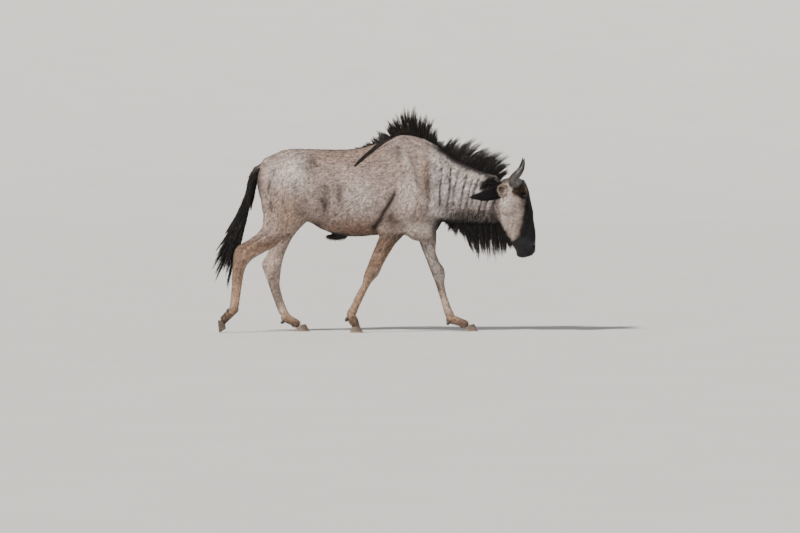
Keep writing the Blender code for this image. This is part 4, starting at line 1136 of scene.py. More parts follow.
def root_places(points: np.ndarray) -> np.ndarray:
    """Places on an unwrap of the hide: a sleeve each for body, head and legs.

    Args:
        points: Places on the hide.

    Returns:
        Rows of u and v.
    """
    x, y, z = points.T
    level = 0.5 * (crest_height(x) + np.maximum(throat_height(x), 0.66))
    level = np.where(x < 0.43, 0.5 * (curve_through(x, TRUNK_ROWS, 1) + curve_through(x, TRUNK_ROWS, 2)), level)
    angle = np.arctan2(y, z - level) / (2.0 * np.pi) + 0.5
    uv = BODY_CHART.place((x + 0.90) / 1.80, angle)
    head = x > 0.86
    middle = 0.5 * (curve_through(z, HEAD_ROWS, 1) + curve_through(z, HEAD_ROWS, 2))
    around = np.arctan2(y, x - middle) / (2.0 * np.pi) + 0.5
    uv[head] = HEAD_CHART.place(around, (z - 0.51) / 0.60)[head]
    for (name, plan), (_, mask) in zip(LEG_PLANS.items(), legs_at(points)):
        here = (mask > 0.5) & (z < LEG_TOP - 0.02)
        around = np.arctan2(y - plan.foot_y, x - plan.centre(z)) / (2.0 * np.pi) + 0.5
        uv[here] = LEG_CHARTS[name].place(around, z / LEG_TOP)[here]
    return uv


# Meshes and materials


def object_from(name: str, points: np.ndarray, faces: Sequence[Sequence[int]] | np.ndarray) -> bpy.types.Object:
    """A smooth-shaded object from points and faces.

    Args:
        name: The object's name.
        points: Its points.
        faces: Its faces, as lists of point numbers.

    Returns:
        The new object.
    """
    mesh = bpy.data.meshes.new(name)
    rows = faces.tolist() if isinstance(faces, np.ndarray) else faces
    mesh.from_pydata(np.asarray(points, dtype=float).tolist(), [], rows)
    mesh.update()
    mesh.shade_smooth()
    item = bpy.data.objects.new(name, mesh)
    bpy.context.scene.collection.objects.link(item)
    return item


def settle(item: bpy.types.Object) -> bpy.types.Object:
    """Replace an object's mesh by its shape after all modifiers.

    Args:
        item: The object.

    Returns:
        The same object.
    """
    graph = bpy.context.evaluated_depsgraph_get()
    mesh = bpy.data.meshes.new_from_object(item.evaluated_get(graph), preserve_all_data_layers=True, depsgraph=graph)
    old = item.data
    item.modifiers.clear()
    item.data = mesh
    bpy.data.meshes.remove(old)
    mesh.name = item.name
    return item


def fetch(rows: bpy.types.bpy_prop_collection, key: str, width: int) -> np.ndarray:
    """Read one property of all rows of a mesh.

    Args:
        rows: The mesh's points, normals or layer values.
        key: The property's name.
        width: How many numbers it has.

    Returns:
        Rows of that many numbers.
    """
    flat = np.empty(len(rows) * width, dtype=np.float32)
    rows.foreach_get(key, flat)
    return flat.reshape(-1, width).astype(float)


def points_of(mesh: bpy.types.Mesh) -> np.ndarray:
    """All points of a mesh as rows."""
    return fetch(mesh.vertices, "co", 3)


def place_points(mesh: bpy.types.Mesh, points: np.ndarray) -> None:
    """Move all points of a mesh."""
    mesh.vertices.foreach_set("co", points.astype(np.float32).ravel())
    mesh.update()


def normals_of(mesh: bpy.types.Mesh) -> np.ndarray:
    """The unit normals at all points of a mesh."""
    return fetch(mesh.vertex_normals, "vector", 3)


def write_layer(mesh: bpy.types.Mesh, name: str, kind: str, values: np.ndarray) -> None:
    """Store one value for each point of a mesh.

    Args:
        mesh: The mesh.
        name: The layer's name.
        kind: FLOAT, FLOAT_VECTOR or FLOAT_COLOR.
        values: The values; a colour's alpha is added.
    """
    layer = mesh.attributes.get(name) or mesh.attributes.new(name, kind, "POINT")
    if kind == "FLOAT_COLOR":
        values = np.concatenate((values, np.ones((len(values), 1))), axis=1)
    word = {"FLOAT": "value", "FLOAT_VECTOR": "vector", "FLOAT_COLOR": "color"}[kind]
    layer.data.foreach_set(word, np.ascontiguousarray(values, dtype=np.float32).ravel())


def read_layer(mesh: bpy.types.Mesh, name: str, width: int) -> np.ndarray:
    """Read one layer of a mesh's points.

    Args:
        mesh: The mesh.
        name: The layer's name.
        width: Numbers for each point: 1, 3 or, for a colour, 4.

    Returns:
        The values, as a plain row where width is 1.
    """
    values = fetch(mesh.attributes[name].data, {1: "value", 3: "vector", 4: "color"}[width], width)
    return values[:, 0] if width == 1 else values


def write_uv(mesh: bpy.types.Mesh, name: str, by_point: np.ndarray) -> None:
    """Store a UV map from one place for each point.

    Args:
        mesh: The mesh.
        name: The map's name.
        by_point: Rows of u and v for the points.
    """
    corner = np.empty(len(mesh.loops), dtype=np.int32)
    mesh.loops.foreach_get("vertex_index", corner)
    layer = mesh.uv_layers.get(name) or mesh.uv_layers.new(name=name)
    layer.uv.foreach_set("vector", by_point[corner].astype(np.float32).ravel())


def shift_outline(item: bpy.types.Object) -> None:
    """Move a mesh from the outline's own X to the frame's."""
    item.data.transform(Matrix.Translation((OUTLINE_SHIFT, 0.0, 0.0)))


class Nodes:
    """A small helper that lays out and links a node tree."""

    def __init__(self, tree: bpy.types.NodeTree) -> None:
        """Take hold of a tree."""
        self.tree = tree

    def add(self, kind: str, links: dict | None = None, **settings: object) -> bpy.types.Node:
        """Add a node.

        Args:
            kind: The node's type.
            links: Its inputs by name or number: a socket to link or a value to set.
            settings: Properties of the node.

        Returns:
            The node.
        """
        node = self.tree.nodes.new(kind)
        for key, value in settings.items():
            setattr(node, key, value)
        for key, value in (links or {}).items():
            if isinstance(value, bpy.types.NodeSocket):
                self.tree.links.new(value, node.inputs[key])
            else:
                node.inputs[key].default_value = value
        return node


class Paintwork:
    """A material in the making: its nodes, its shader, Object coordinates and the stored colour."""

    def __init__(self, name: str, even: dict[str, float]) -> None:
        """Begin a material.

        Args:
            name: The material's name.
            even: The shader's inputs that are the same all over.
        """
        self.material = bpy.data.materials.new(name)
        self.material.use_nodes = True
        self.shader = self.material.node_tree.nodes["Principled BSDF"]
        self.nodes = Nodes(self.material.node_tree)
        self.place = self.nodes.add("ShaderNodeTexCoord").outputs["Object"]
        for key, value in even.items():
            self.shader.inputs[key].default_value = value

    def layer(self, name: str, output: str) -> bpy.types.NodeSocket:
        """A layer that is stored on the mesh."""
        return self.nodes.add("ShaderNodeAttribute", attribute_name=name).outputs[output]

    def noise(self, scale: float | Sequence[float], detail: float, rough: float = 0.5) -> bpy.types.NodeSocket:
        """Noise on the Object coordinates.

        Args:
            scale: One scale, or one for each axis.
            detail: How many finer layers it has.
            rough: How strong those are.

        Returns:
            The noise, about 0.5 on average.
        """
        vector = self.place
        if not isinstance(scale, float):
            vector = self.nodes.add("ShaderNodeMapping", {"Vector": vector, "Scale": scale}).outputs[0]
            scale = 1.0
        links = {"Vector": vector, "Scale": scale, "Detail": detail, "Roughness": rough}
        return self.nodes.add("ShaderNodeTexNoise", links).outputs["Fac"]

    def math(self, operation: str, first: bpy.types.NodeSocket, second: bpy.types.NodeSocket) -> bpy.types.NodeSocket:
        """Two values joined by one step of arithmetic."""
        return self.nodes.add("ShaderNodeMath", {0: first, 1: second}, operation=operation).outputs[0]

    def span(
        self, value: bpy.types.NodeSocket, given: tuple[float, float], wanted: tuple[float, float]
    ) -> bpy.types.NodeSocket:
        """A value moved from one span to another.

        Args:
            value: The value.
            given: The span that it comes from.
            wanted: The span that it is moved to.

        Returns:
            The moved value.
        """
        links = {0: value, 1: given[0], 2: given[1], 3: wanted[0], 4: wanted[1]}
        return self.nodes.add("ShaderNodeMapRange", links).outputs[0]

    def close(
        self,
        gain: bpy.types.NodeSocket,
        rough: bpy.types.NodeSocket | None = None,
        relief: tuple[bpy.types.NodeSocket, float, float] | None = None,
    ) -> bpy.types.Material:
        """Link the shader.

        Args:
            gain: What the stored colour is multiplied by.
            rough: The roughness, where it varies.
            relief: Height, strength and distance of a fine relief.

        Returns:
            The material.
        """
        links = self.material.node_tree.links
        paint = self.layer(COLOUR, "Color")
        tone = self.nodes.add("ShaderNodeVectorMath", {0: paint, "Scale": gain}, operation="SCALE")
        links.new(tone.outputs[0], self.shader.inputs["Base Color"])
        if rough:
            links.new(rough, self.shader.inputs["Roughness"])
        if relief:
            height, strength, distance = relief
            bump = self.nodes.add("ShaderNodeBump", {"Strength": strength, "Distance": distance, "Height": height})
            links.new(bump.outputs[0], self.shader.inputs["Normal"])
        return self.material


@dataclass(frozen=True)
class FurFinish:
    """Short lying fur: the marking's colour broken into fine streaks, with a fine bump."""

    name: str
    roughness: float = 0.62
    sheen: float = 0.08
    streak: float = 0.55
    bump: float = 0.7

    def make(self) -> bpy.types.Material:
        """Build the material.

        Returns:
            The material.
        """
        even = {"Sheen Weight": self.sheen, "Sheen Roughness": 0.45, "Specular IOR Level": 0.25}
        work = Paintwork(self.name, even)
        level = work.noise((46.0, 300.0, 300.0), 4.0)
        upright = work.noise((300.0, 300.0, 46.0), 4.0)
        rise = work.nodes.add("ShaderNodeSeparateXYZ", {0: work.layer(LIE, "Vector")}).outputs["Z"]
        steep = work.math("MULTIPLY", rise, rise)
        hair = work.nodes.add("ShaderNodeMix", {0: steep, 2: level, 3: upright}, data_type="FLOAT").outputs[0]
        both = work.math("ADD", hair, work.noise(62.0, 3.0, 0.6))
        gain = work.span(both, (0.72, 1.28), (1.0 - self.streak, 1.0 + self.streak))
        rough = work.span(hair, (0.3, 0.7), (self.roughness + 0.1, self.roughness - 0.08))
        return work.close(gain, rough, (both, self.bump, 0.004))


@dataclass(frozen=True)
class StrandFinish:
    """Long coarse hair: a dark strand with a pale glint and a slight change along it."""

    name: str
    roughness: float = 0.42
    sheen: float = 0.05

    def make(self) -> bpy.types.Material:
        """Build the material.

        Returns:
            The material.
        """
        work = Paintwork(self.name, {"Sheen Weight": self.sheen, "Specular IOR Level": 0.28})
        cloud = work.noise(85.0, 3.0)
        rough = work.span(cloud, (0.3, 0.7), (self.roughness, self.roughness + 0.2))
        return work.close(work.span(cloud, (0.3, 0.7), (0.55, 1.5)), rough)


@dataclass(frozen=True)
class HardFinish:
    """Horn or hoof: painted colour with growth lines, wear and a dull polish."""

    name: str
    scale: Sequence[float]
    roughness: float
    coat: float
    bump: float = 0.35

    def make(self) -> bpy.types.Material:
        """Build the material.

        Returns:
            The material.
        """
        work = Paintwork(self.name, {"Coat Weight": self.coat, "Coat Roughness": 0.3})
        both = work.math("ADD", work.noise(self.scale, 5.0, 0.62), work.noise(38.0, 4.0))
        rough = work.span(both, (0.7, 1.3), (self.roughness + 0.15, self.roughness - 0.1))
        return work.close(work.span(both, (0.7, 1.3), (0.62, 1.4)), rough, (both, self.bump, 0.002))


@dataclass(frozen=True)
class EyeFinish:
    """A wet eye: painted iris and pupil under a clear coat."""

    name: str = "eye_wet"

    def make(self) -> bpy.types.Material:
        """Build the material.

        Returns:
            The material.
        """
        even = {"Roughness": 0.10, "Specular IOR Level": 0.2, "Coat Weight": 0.2, "Coat Roughness": 0.02}
        work = Paintwork(self.name, even)
        return work.close(work.span(work.noise(420.0, 2.0), (0.3, 0.7), (0.8, 1.25)))


# The skin


def face_outward(item: bpy.types.Object) -> None:
    """Turn all faces of a closed mesh outwards.

    Args:
        item: The object.
    """
    work = bmesh.new()
    work.from_mesh(item.data)
    bmesh.ops.recalc_face_normals(work, faces=work.faces)
    if work.calc_volume(signed=True) < 0.0:
        bmesh.ops.reverse_faces(work, faces=work.faces)
    work.to_mesh(item.data)
    work.free()


def ring_faces(rows: int, count: int, poles: bool = False) -> list[tuple[int, ...]]:
    """Faces between rings of points, with a fan of faces to a pole at each end where asked.

    Args:
        rows: How many rings.
        count: Points in each ring.
        poles: True where the first ring's pole and then the last ring's follow the rings.

    Returns:
        The faces.
    """
    after = [*range(1, count), 0]
    faces = []
    for row in range(rows - 1):
        low, high = row * count, (row + 1) * count
        faces += [(low + a, low + b, high + b, high + a) for a, b in enumerate(after)]
    if poles:
        pole, last = rows * count, (rows - 1) * count
        for a, b in enumerate(after):
            faces += [(pole, b, a), (pole + 1, last + a, last + b)]
    return faces


def painted(name: str, points: Sequence, faces: Sequence, colours: np.ndarray) -> bpy.types.Object:
    """A closed object that faces outwards, with its colours stored.

    Args:
        name: The object's name.
        points: Its points.
        faces: Its faces.
        colours: A linear colour for each point.

    Returns:
        The object.
    """
    item = object_from(name, points, faces)
    face_outward(item)
    write_layer(item.data, COLOUR, "FLOAT_COLOR", colours)
    return item


@dataclass
class Skin:
    """One skin over trunk, neck, head, legs and dock, with the lids and ears joined to it."""

    trunk_step: float = 0.0064
    head_step: float = 0.0036
    side_step: float = 0.0046
    height_step: float = 0.0048
    face_limit: int = 176000
    coat_trunk: float = 0.0045
    coat_leg: float = 0.0025
    coat_head: float = 0.0018
    masses: tuple[Lump, ...] = (
        Lump((0.235, 0.105, 1.105), (0.215, 0.062, 0.085), -58.0),
        Lump((0.375, 0.105, 0.885), (0.085, 0.062, 0.085)),
        Lump((0.205, 0.128, 0.830), (0.170, 0.066, 0.090), 22.0),
        Lump((-0.600, 0.100, 1.055), (0.190, 0.092, 0.150), 35.0),
        Lump((-0.500, 0.096, 1.198), (0.085, 0.066, 0.060)),
        Lump((-0.752, 0.070, 1.020), (0.072, 0.062, 0.140), 10.0),
    )
    details: tuple[tuple[Lump, float], ...] = (
        (Lump((0.930, 0.066, 0.905), (0.062, 0.033, 0.078)), 0.020),
        (Lump((1.044, 0.064, 1.002), (0.036, 0.027, 0.017), -12.0), 0.014),
        (Lump((1.030, 0.050, 0.850), (0.022, 0.017, 0.090), 8.0), 0.016),
        (Lump((1.108, 0.042, 0.606), (0.024, 0.021, 0.030), 20.0), 0.012),
        (Lump((1.088, 0.020, 0.577), (0.040, 0.040, 0.026)), 0.012),
        (Lump((0.046, 0.126, 0.738), (0.034, 0.032, 0.044)), 0.025),
    )
    middle_lumps: tuple[tuple[Lump, float], ...] = (
        (Lump((1.040, 0.0, 0.546), (0.042, 0.037, 0.024)), 0.012),
        (Lump((-0.270, 0.0, 0.672), (0.080, 0.026, 0.022)), 0.020),
        (Lump((0.330, 0.0, 0.700), (0.090, 0.040, 0.048)), 0.040),
    )
    sockets: tuple[tuple[Lump, float], ...] = (
        (Lump((1.046, 0.082, 0.964), (0.0215, 0.0215, 0.0205)), 0.006),
        (Lump((1.121, 0.043, 0.601), (0.017, 0.013, 0.0085), 48.0), 0.005),
        (Lump((1.068, 0.078, 0.900), (0.016, 0.012, 0.040)), 0.012),
    )

    def grid(self) -> list[np.ndarray]:
        """The lines of the grid, closer together over the head.

        Returns:
            The three axes.
        """
        back = np.arange(-1.120, HEAD_START[0], self.trunk_step)
        front = np.arange(back[-1] + self.head_step, 1.165, self.head_step)
        half = np.arange(0.5 * self.side_step, 0.235, self.side_step)
        heights = np.arange(0.03, 1.43, self.height_step)
        return [np.concatenate((back, front)), np.concatenate((-half[::-1], half)), heights]

    def flesh(self) -> FormField:
        """All forms of the flesh on the grid, drawn in by the coat's depth.

        Returns:
            The field.
        """
        whole = FormField(self.grid())
        whole.blend(SweptForm(TRUNK_ROWS, Along.X, 0.42, 1.75, 2.3, 0.06), 0.02)
        whole.blend(SweptForm(NECK_ROWS, Along.X, 0.50, 1.9, 2.1, 0.05), 0.05)
        whole.blend(SweptForm(HEAD_ROWS, Along.Z, 0.52, 2.7, 2.0, 0.016), 0.03)
        for side in Side:
            for lump in self.masses:
                whole.blend(lump.on(side.value), 0.045)
            for lump, soft in self.details:
                whole.blend(lump.on(side.value), soft)
        for lump, soft in self.middle_lumps:
            whole.blend(lump, soft)
        for plan in LEG_PLANS.values():
            whole.blend(SweptForm(plan.rows, Along.Z, 0.5, 2.0, 2.0, 0.03, plan.side), 0.035)
            ends = [(spot[0], plan.foot_y, spot[1], spot[2]) for spot in plan.pastern]
            whole.blend(Cone(ends[0], ends[1], 0.92), 0.012)
        for first, second in zip(DOCK_LINE, DOCK_LINE[1:]):
            ends = [(spot[0], 0.0, spot[1], spot[2]) for spot in (first, second)]
            whole.blend(Cone(ends[0], ends[1]), 0.010)
        x, _, z = [axis.reshape(shape) for axis, shape in zip(whole.axes, ((-1, 1, 1), (1, -1, 1), (1, 1, -1)))]
        depth = self.coat_leg + (self.coat_trunk - self.coat_leg) * ramp(z, 0.55, 0.75)
        depth = depth + (self.coat_head - depth) * ramp(x, *HEAD_START)
        whole.values += depth.astype(np.float32)
        for side in Side:
            for lump, soft in self.sockets:
                whole.blend(lump.on(side.value), soft, -1.0)
        return whole

    def build(self) -> bpy.types.Object:
        """Make the skin, with its folds, and thin out its faces where it is plain.

        Returns:
            The skin, in the outline's own X.
        """
        points, quads = self.flesh().surface()
        item = object_from("skin", points, quads)
        smooth = item.modifiers.new("even", "SMOOTH")
        smooth.factor = 0.5
        smooth.iterations = 2
        settle(item)
        mesh = item.data
        points = points_of(mesh)
        place_points(mesh, points + normals_of(mesh) * relief(points)[:, None])
        group = item.vertex_groups.new(name="plain")
        forward, height = points[:, 0], points[:, 2]
        weight = 1.0 - 0.85 * ramp(forward, 0.82, 0.90) - 0.25 * ramp(height, 0.66, 0.55) * (forward < 0.8)
        for number, value in enumerate(np.clip(weight, 0.05, 1.0).tolist()):
            group.add((number,), value, "REPLACE")
        faces = 2 * len(mesh.polygons)
        thin = item.modifiers.new("fewer faces", "DECIMATE")
        thin.ratio = min(self.face_limit / faces, 1.0)
        thin.use_collapse_triangulate = True
        thin.vertex_group = group.name
        thin.vertex_group_factor = 0.6
        settle(item)
        item.vertex_groups.clear()
        LOG.info("skin flesh: %d triangles from %d", len(item.data.polygons), faces)
        return item

    @staticmethod
    def paint(item: bpy.types.Object) -> None:
        """Store the markings and the lie of the coat on a part of the skin.

        Args:
            item: That part.
        """
        points = points_of(item.data)
        normals = normals_of(item.data)
        lie = lie_of_coat(points)
        lie -= normals * np.sum(lie * normals, axis=1)[:, None]
        lie /= np.maximum(np.linalg.norm(lie, axis=1), 1.0e-6)[:, None]
        write_layer(item.data, COLOUR, "FLOAT_COLOR", Hide().colours(points))
        write_layer(item.data, LIE, "FLOAT_VECTOR", lie)


@dataclass
class EyeRegion:
    """One eye with its lids."""

    side: Side
    ball: float = EYE_RADIUS
    bulge: float = 0.0012
    pupil: tuple[float, float] = (0.0065, 0.0032)
    iris: float = 0.0125
    steps: int = 48
    rings: int = 30
    lid_edge: float = 76.0
    lid_section: Rows = ((20.9, 0.0), (22.2, 0.5), (23.2, 4.0), (24.2, 11.0), (23.7, 17.0), (24.9, 25.0))

    def axes(self) -> tuple[Vector, Vector, Vector, Vector]:
        """Centre, outward axis, forward axis and upward axis of the eye.

        Returns:
            The four vectors.
        """
        centre = Vector((EYE_PLACE[0], EYE_PLACE[1] * self.side.value, EYE_PLACE[2]))
        out = Vector((0.26, self.side.value, 0.04)).normalized()
        up = (Vector((-0.10, 0.0, 1.0)) - out * out.z).normalized()
        up = (up - out * up.dot(out)).normalized()
        return centre, out, out.cross(up) * -self.side.value, up

    def build_ball(self) -> bpy.types.Object:
        """The eyeball with a slight cornea and a painted iris.

        Returns:
            The eyeball.
        """
        centre, out, ahead, up = self.axes()
        points = []
        colours = []
        for ring in range(1, self.rings):
            polar = math.pi * (ring / self.rings) ** 1.25
            for step in range(self.steps):
                angle = 2.0 * math.pi * step / self.steps
                radius = self.ball + self.bulge * math.exp(-((polar / 0.6) ** 2))
                across = math.cos(angle) * math.sin(polar) * radius
                rise = math.sin(angle) * math.sin(polar) * radius
                points.append(centre + out * (math.cos(polar) * radius) + ahead * across + up * rise)
                colours.append(self.iris_colour(across, rise))
        points += [centre + out * (self.ball + self.bulge), centre - out * self.ball]
        colours += [self.iris_colour(0.0, 0.0), screen((30, 22, 20))]
        faces = ring_faces(self.rings - 1, self.steps, poles=True)
        return painted(f"eye_ball_{self.side.word}", points, faces, np.array(colours))

    def iris_colour(self, across: float, rise: float) -> np.ndarray:
        """The eye's colour at a place on its front.

        Args:
            across: Distance ahead of the eye's middle.
            rise: Distance above it.

        Returns:
            A linear colour.
        """
        if (across / self.pupil[0]) ** 2 + (rise / self.pupil[1]) ** 2 < 1.0:
            return screen((7, 8, 12))
        away = math.hypot(across, rise) / self.iris
        if away < 1.0:
            return screen((38, 24, 16)) * (0.75 + 0.6 * (1.0 - away) + 0.15 * math.sin(23.0 * math.atan2(rise, across)))
        return screen((20, 15, 14)) if away < 1.25 else screen((36, 27, 25))

    def build_lids(self) -> bpy.types.Object:
        """The ring of upper and lower lid with its rim and fold.

        Returns:
            The lids, one closed ring.
        """
        points = []
        for step in range(self.steps):
            angle = 2.0 * math.pi * step / self.steps
            level = math.sin(angle)
            inner = 59.0 - (19.0 if level > 0.0 else 15.0) * abs(level) ** 1.3
            for radius, beyond in self.lid_section:
                points.append(self.on_ball(radius, inner + beyond * min((self.lid_edge - inner) / 30.0, 1.1), angle))
            points.append(self.on_ball(25.2, self.lid_edge + 4.0, angle))
            points.append(self.on_ball(21.2, self.lid_edge, angle))
        faces = np.array(ring_faces(self.steps + 1, len(self.lid_section) + 2)) % len(points)
        item = object_from(f"lids_{self.side.word}", points, faces)
        face_outward(item)
        return item

    def on_ball(self, radius: float, polar: float, angle: float) -> Vector:
        """A place near the eyeball.

        Args:
            radius: Distance from the centre in millimetres.
            polar: Angle from the outward axis in degrees.
            angle: Angle about that axis in radians.

        Returns:
            The place.
        """
        centre, out, ahead, up = self.axes()
        reach = radius * 0.001
        lean = math.radians(polar)
        flat = ahead * math.cos(angle) + up * math.sin(angle)
        return centre + out * (math.cos(lean) * reach) + flat * (math.sin(lean) * reach)


@dataclass
class Ear:
    """One ear: a leaf-shaped cup whose hollow faces out and down."""

    side: Side
    base: Point = (0.938, 0.070, 1.008)
    tip: Point = (0.671, 0.196, 0.950)
    rows: Rows = (
        (0.00, 0.026, 0.022), (0.06, 0.034, 0.030), (0.14, 0.0415, 0.033), (0.28, 0.046, 0.028),
        (0.50, 0.042, 0.021), (0.72, 0.030, 0.012), (0.90, 0.014, 0.004), (1.00, 0.002, 0.001),
    )
    wall: float = 0.0042
    mouth: tuple[float, float] = (0.8985, 1.004)
    stations: int = 64
    across: int = 31

    def frame(self) -> tuple[Vector, Vector, Vector, Vector]:
        """Base, long axis, direction of the hollow and breadth.

        Returns:
            The four vectors.
        """
        base = Vector((self.base[0], self.base[1] * self.side.value, self.base[2]))
        tip = Vector((self.tip[0], self.tip[1] * self.side.value, self.tip[2]))
        axis = tip - base
        hollow = Vector((0.0, self.side.value, -0.25))
        hollow = (hollow - axis * hollow.dot(axis) / axis.length_squared).normalized()
        return base, axis, hollow, axis.cross(hollow).normalized()

    def place(self, share: float, angle: float, depth: float) -> Vector:
        """A place on the ear's leaf.

        Args:
            share: How far along the ear.
            angle: Where on the cup, from -90 to 90 degrees, in radians.
            depth: How deep inside the wall, from the back.

        Returns:
            The place.
        """
        base, axis, hollow, breadth = self.frame()
        half = float(curve_through(np.array(share), self.rows, 1))
        cup = float(curve_through(np.array(share), self.rows, 2))
        side_curl = math.sin(angle) * (half - 0.4 * depth)
        back = math.cos(angle) * (cup - depth)
        sag = Vector((0.0, 0.0, -0.012 * math.sin(math.pi * share)))
        ripple = 0.0012 * math.sin(9.0 * share + 4.0 * angle) * abs(math.sin(angle))
        return base + axis * share + breadth * side_curl - hollow * (back + ripple) + sag

    def build(self) -> bpy.types.Object:
        """The ear as one closed cup, painted.

        Returns:
            The ear.
        """
        points = []
        colours = []
        ring = 2 * self.across
        angles = [math.pi * (step / (self.across - 1) - 0.5) for step in range(self.across)]
        for station in range(self.stations):
            share = station / (self.stations - 1)
            wall = min(self.wall, 0.6 * float(curve_through(np.array(share), self.rows, 1)))
            points += [self.place(share, angle, 0.0) for angle in angles]
            colours += [self.back_colour(share)] * self.across
            points += [self.place(share, angle, wall * (1.0 - 0.6 * share)) for angle in angles[::-1]]
            colours += [self.inner_colour(share, angle) for angle in angles[::-1]]
        faces = ring_faces(self.stations, ring)
        for low in (0, (self.stations - 1) * ring):
            high = low + ring - 1
            faces += [(low + a, low + a + 1, high - 1 - a, high - a) for a in range(self.across - 1)]
        item = painted(f"ear_{self.side.word}_skin", points, faces, np.array(colours))
        lie = np.tile(np.array(self.frame()[1].normalized()), (len(points), 1))
        write_layer(item.data, LIE, "FLOAT_VECTOR", lie)
        return item

    def back_colour(self, share: float) -> np.ndarray:
        """Colour of the ear's back at a share of its length."""
        return screen((58, 50, 48)) * (1.0 - share) + screen((22, 21, 27)) * share

    def inner_colour(self, share: float, angle: float) -> np.ndarray:
        """Colour inside the ear: a pale ring round its mouth at the base, dark elsewhere, the ear's own dark hair with
        painted shade of its hollow.

        Args:
            share: How far along the ear.
            angle: Where on the cup.

        Returns:
            A linear colour.
        """
        spot = self.place(share, angle, self.wall)
        away = math.hypot(spot.x - self.mouth[0], spot.z - self.mouth[1])
        star = 0.0235 + 0.006 * math.cos(5.0 * math.atan2(spot.z - self.mouth[1], spot.x - self.mouth[0]) + 0.6)
        ring = float(ramp(np.array(away), star - 0.007, star + 0.006) * ramp(np.array(away), 0.0440, 0.0330))
        # The dark inside is the ear's own dark hair with painted shade of the hollow.
        dark = screen((24, 22, 26))
        return dark + (screen((172, 156, 138)) - dark) * ring


def join_all(items: Sequence[bpy.types.Object], name: str) -> bpy.types.Object:
    """Join objects into the first.

    Args:
        items: The objects.
        name: The joined object's name.

    Returns:
        The joined object.
    """
    with bpy.context.temp_override(active_object=items[0], selected_editable_objects=list(items)):
        bpy.ops.object.join()
    items[0].name = name
    items[0].data.name = name
    return items[0]


def wear(item: bpy.types.Object, material: bpy.types.Material) -> None:
    """Give a mesh one material."""
    item.data.materials.clear()
    item.data.materials.append(material)


# Horns and hooves


@dataclass
class Horn:
    """One horn: out from its boss, a little down, then up and in to the tip."""

    side: Side
    line: Rows = (
        (1.000, 0.014, 1.044, 0.038), (0.998, 0.060, 1.050, 0.038), (0.986, 0.108, 1.048, 0.034),
        (0.972, 0.158, 1.048, 0.031), (0.968, 0.204, 1.062, 0.028), (0.985, 0.238, 1.090, 0.025),
        (1.011, 0.252, 1.120, 0.021), (1.032, 0.252, 1.152, 0.016), (1.043, 0.240, 1.190, 0.010),
        (1.048, 0.224, 1.228, 0.0015),
    )
    stations: int = 110
    sides: int = 28

    def build(self) -> bpy.types.Object:
        """The horn with the rough rings of its base.

        Returns:
            The horn.
        """
        table = np.array(self.line)
        steps = np.linalg.norm(np.diff(table[:, :3], axis=0), axis=1)
        travel = np.concatenate(([0.0], np.cumsum(steps)))
        keys = np.concatenate((travel[:, None], table), axis=1)
        spots = np.linspace(0.0, travel[-1], self.stations)
        path = np.stack([curve_through(spots, keys, column) for column in (1, 2, 3)], axis=-1)
        for _ in range(6):
            path[1:-1] = 0.25 * path[:-2] + 0.5 * path[1:-1] + 0.25 * path[2:]
        path[:, 1] *= self.side.value
        radius = curve_through(spots, keys, 4)
        share = spots / travel[-1]
        ahead = np.gradient(path, axis=0)
        ahead /= np.linalg.norm(ahead, axis=1)[:, None]
        angle = np.linspace(0.0, 2.0 * np.pi, self.sides, endpoint=False)
        points = []
        colours = []
        top = np.array((0.0, 0.0, 1.0))
        for row in range(self.stations):
            top = top - ahead[row] * (top @ ahead[row])
            top /= np.linalg.norm(top)
            out = np.cross(ahead[row], top)
            around = np.cos(angle)[:, None] * top + np.sin(angle)[:, None] * out
            rough = 0.0011 * np.sin(spots[row] * 420.0 + 1.3 * np.sin(3.0 * angle)) * ramp(share[row], 0.62, 0.25)
            furrow = 0.0010 * np.sin(7.0 * angle + 2.0 * share[row]) * ramp(share[row], 0.40, 0.05)
            lump = 0.0014 * noise(path[row] + around * radius[row], (70.0, 70.0, 70.0), 9) * (1.0 - share[row])
            size = radius[row] + np.minimum(rough + furrow + lump, 0.12 * radius[row])
            points.append(path[row] + around * size[:, None])
            colours.append(self.colour(share[row], np.cos(angle)))
        last = (self.stations - 1) * self.sides
        ends = [tuple(range(self.sides)), tuple(range(last, last + self.sides))]
        faces = ring_faces(self.stations, self.sides) + ends
        return painted(f"horn_sheath_{self.side.word}", np.concatenate(points), faces, np.concatenate(colours))

    @staticmethod
    def colour(share: float, upward: np.ndarray) -> np.ndarray:
        """Colours round the horn at a share of its length, with painted light that leaves its top darker and its
        underside paler.

        Args:
            share: How far along the horn.
            upward: Cosine of the angle from the horn's top.

        Returns:
            Linear colours.
        """
        boss = screen((40, 40, 46))
        middle = screen((62, 58, 55))
        tip = screen((24, 23, 25))
        tone = boss + (middle - boss) * float(ramp(np.array(share), 0.10, 0.40))
        tone = tone + (tip - tone) * float(ramp(np.array(share), 0.52, 0.82))
        # Painted light: darker on the top of each ring and paler underneath.
        pale = 1.0 - 0.34 * upward
        return tone * pale[:, None]


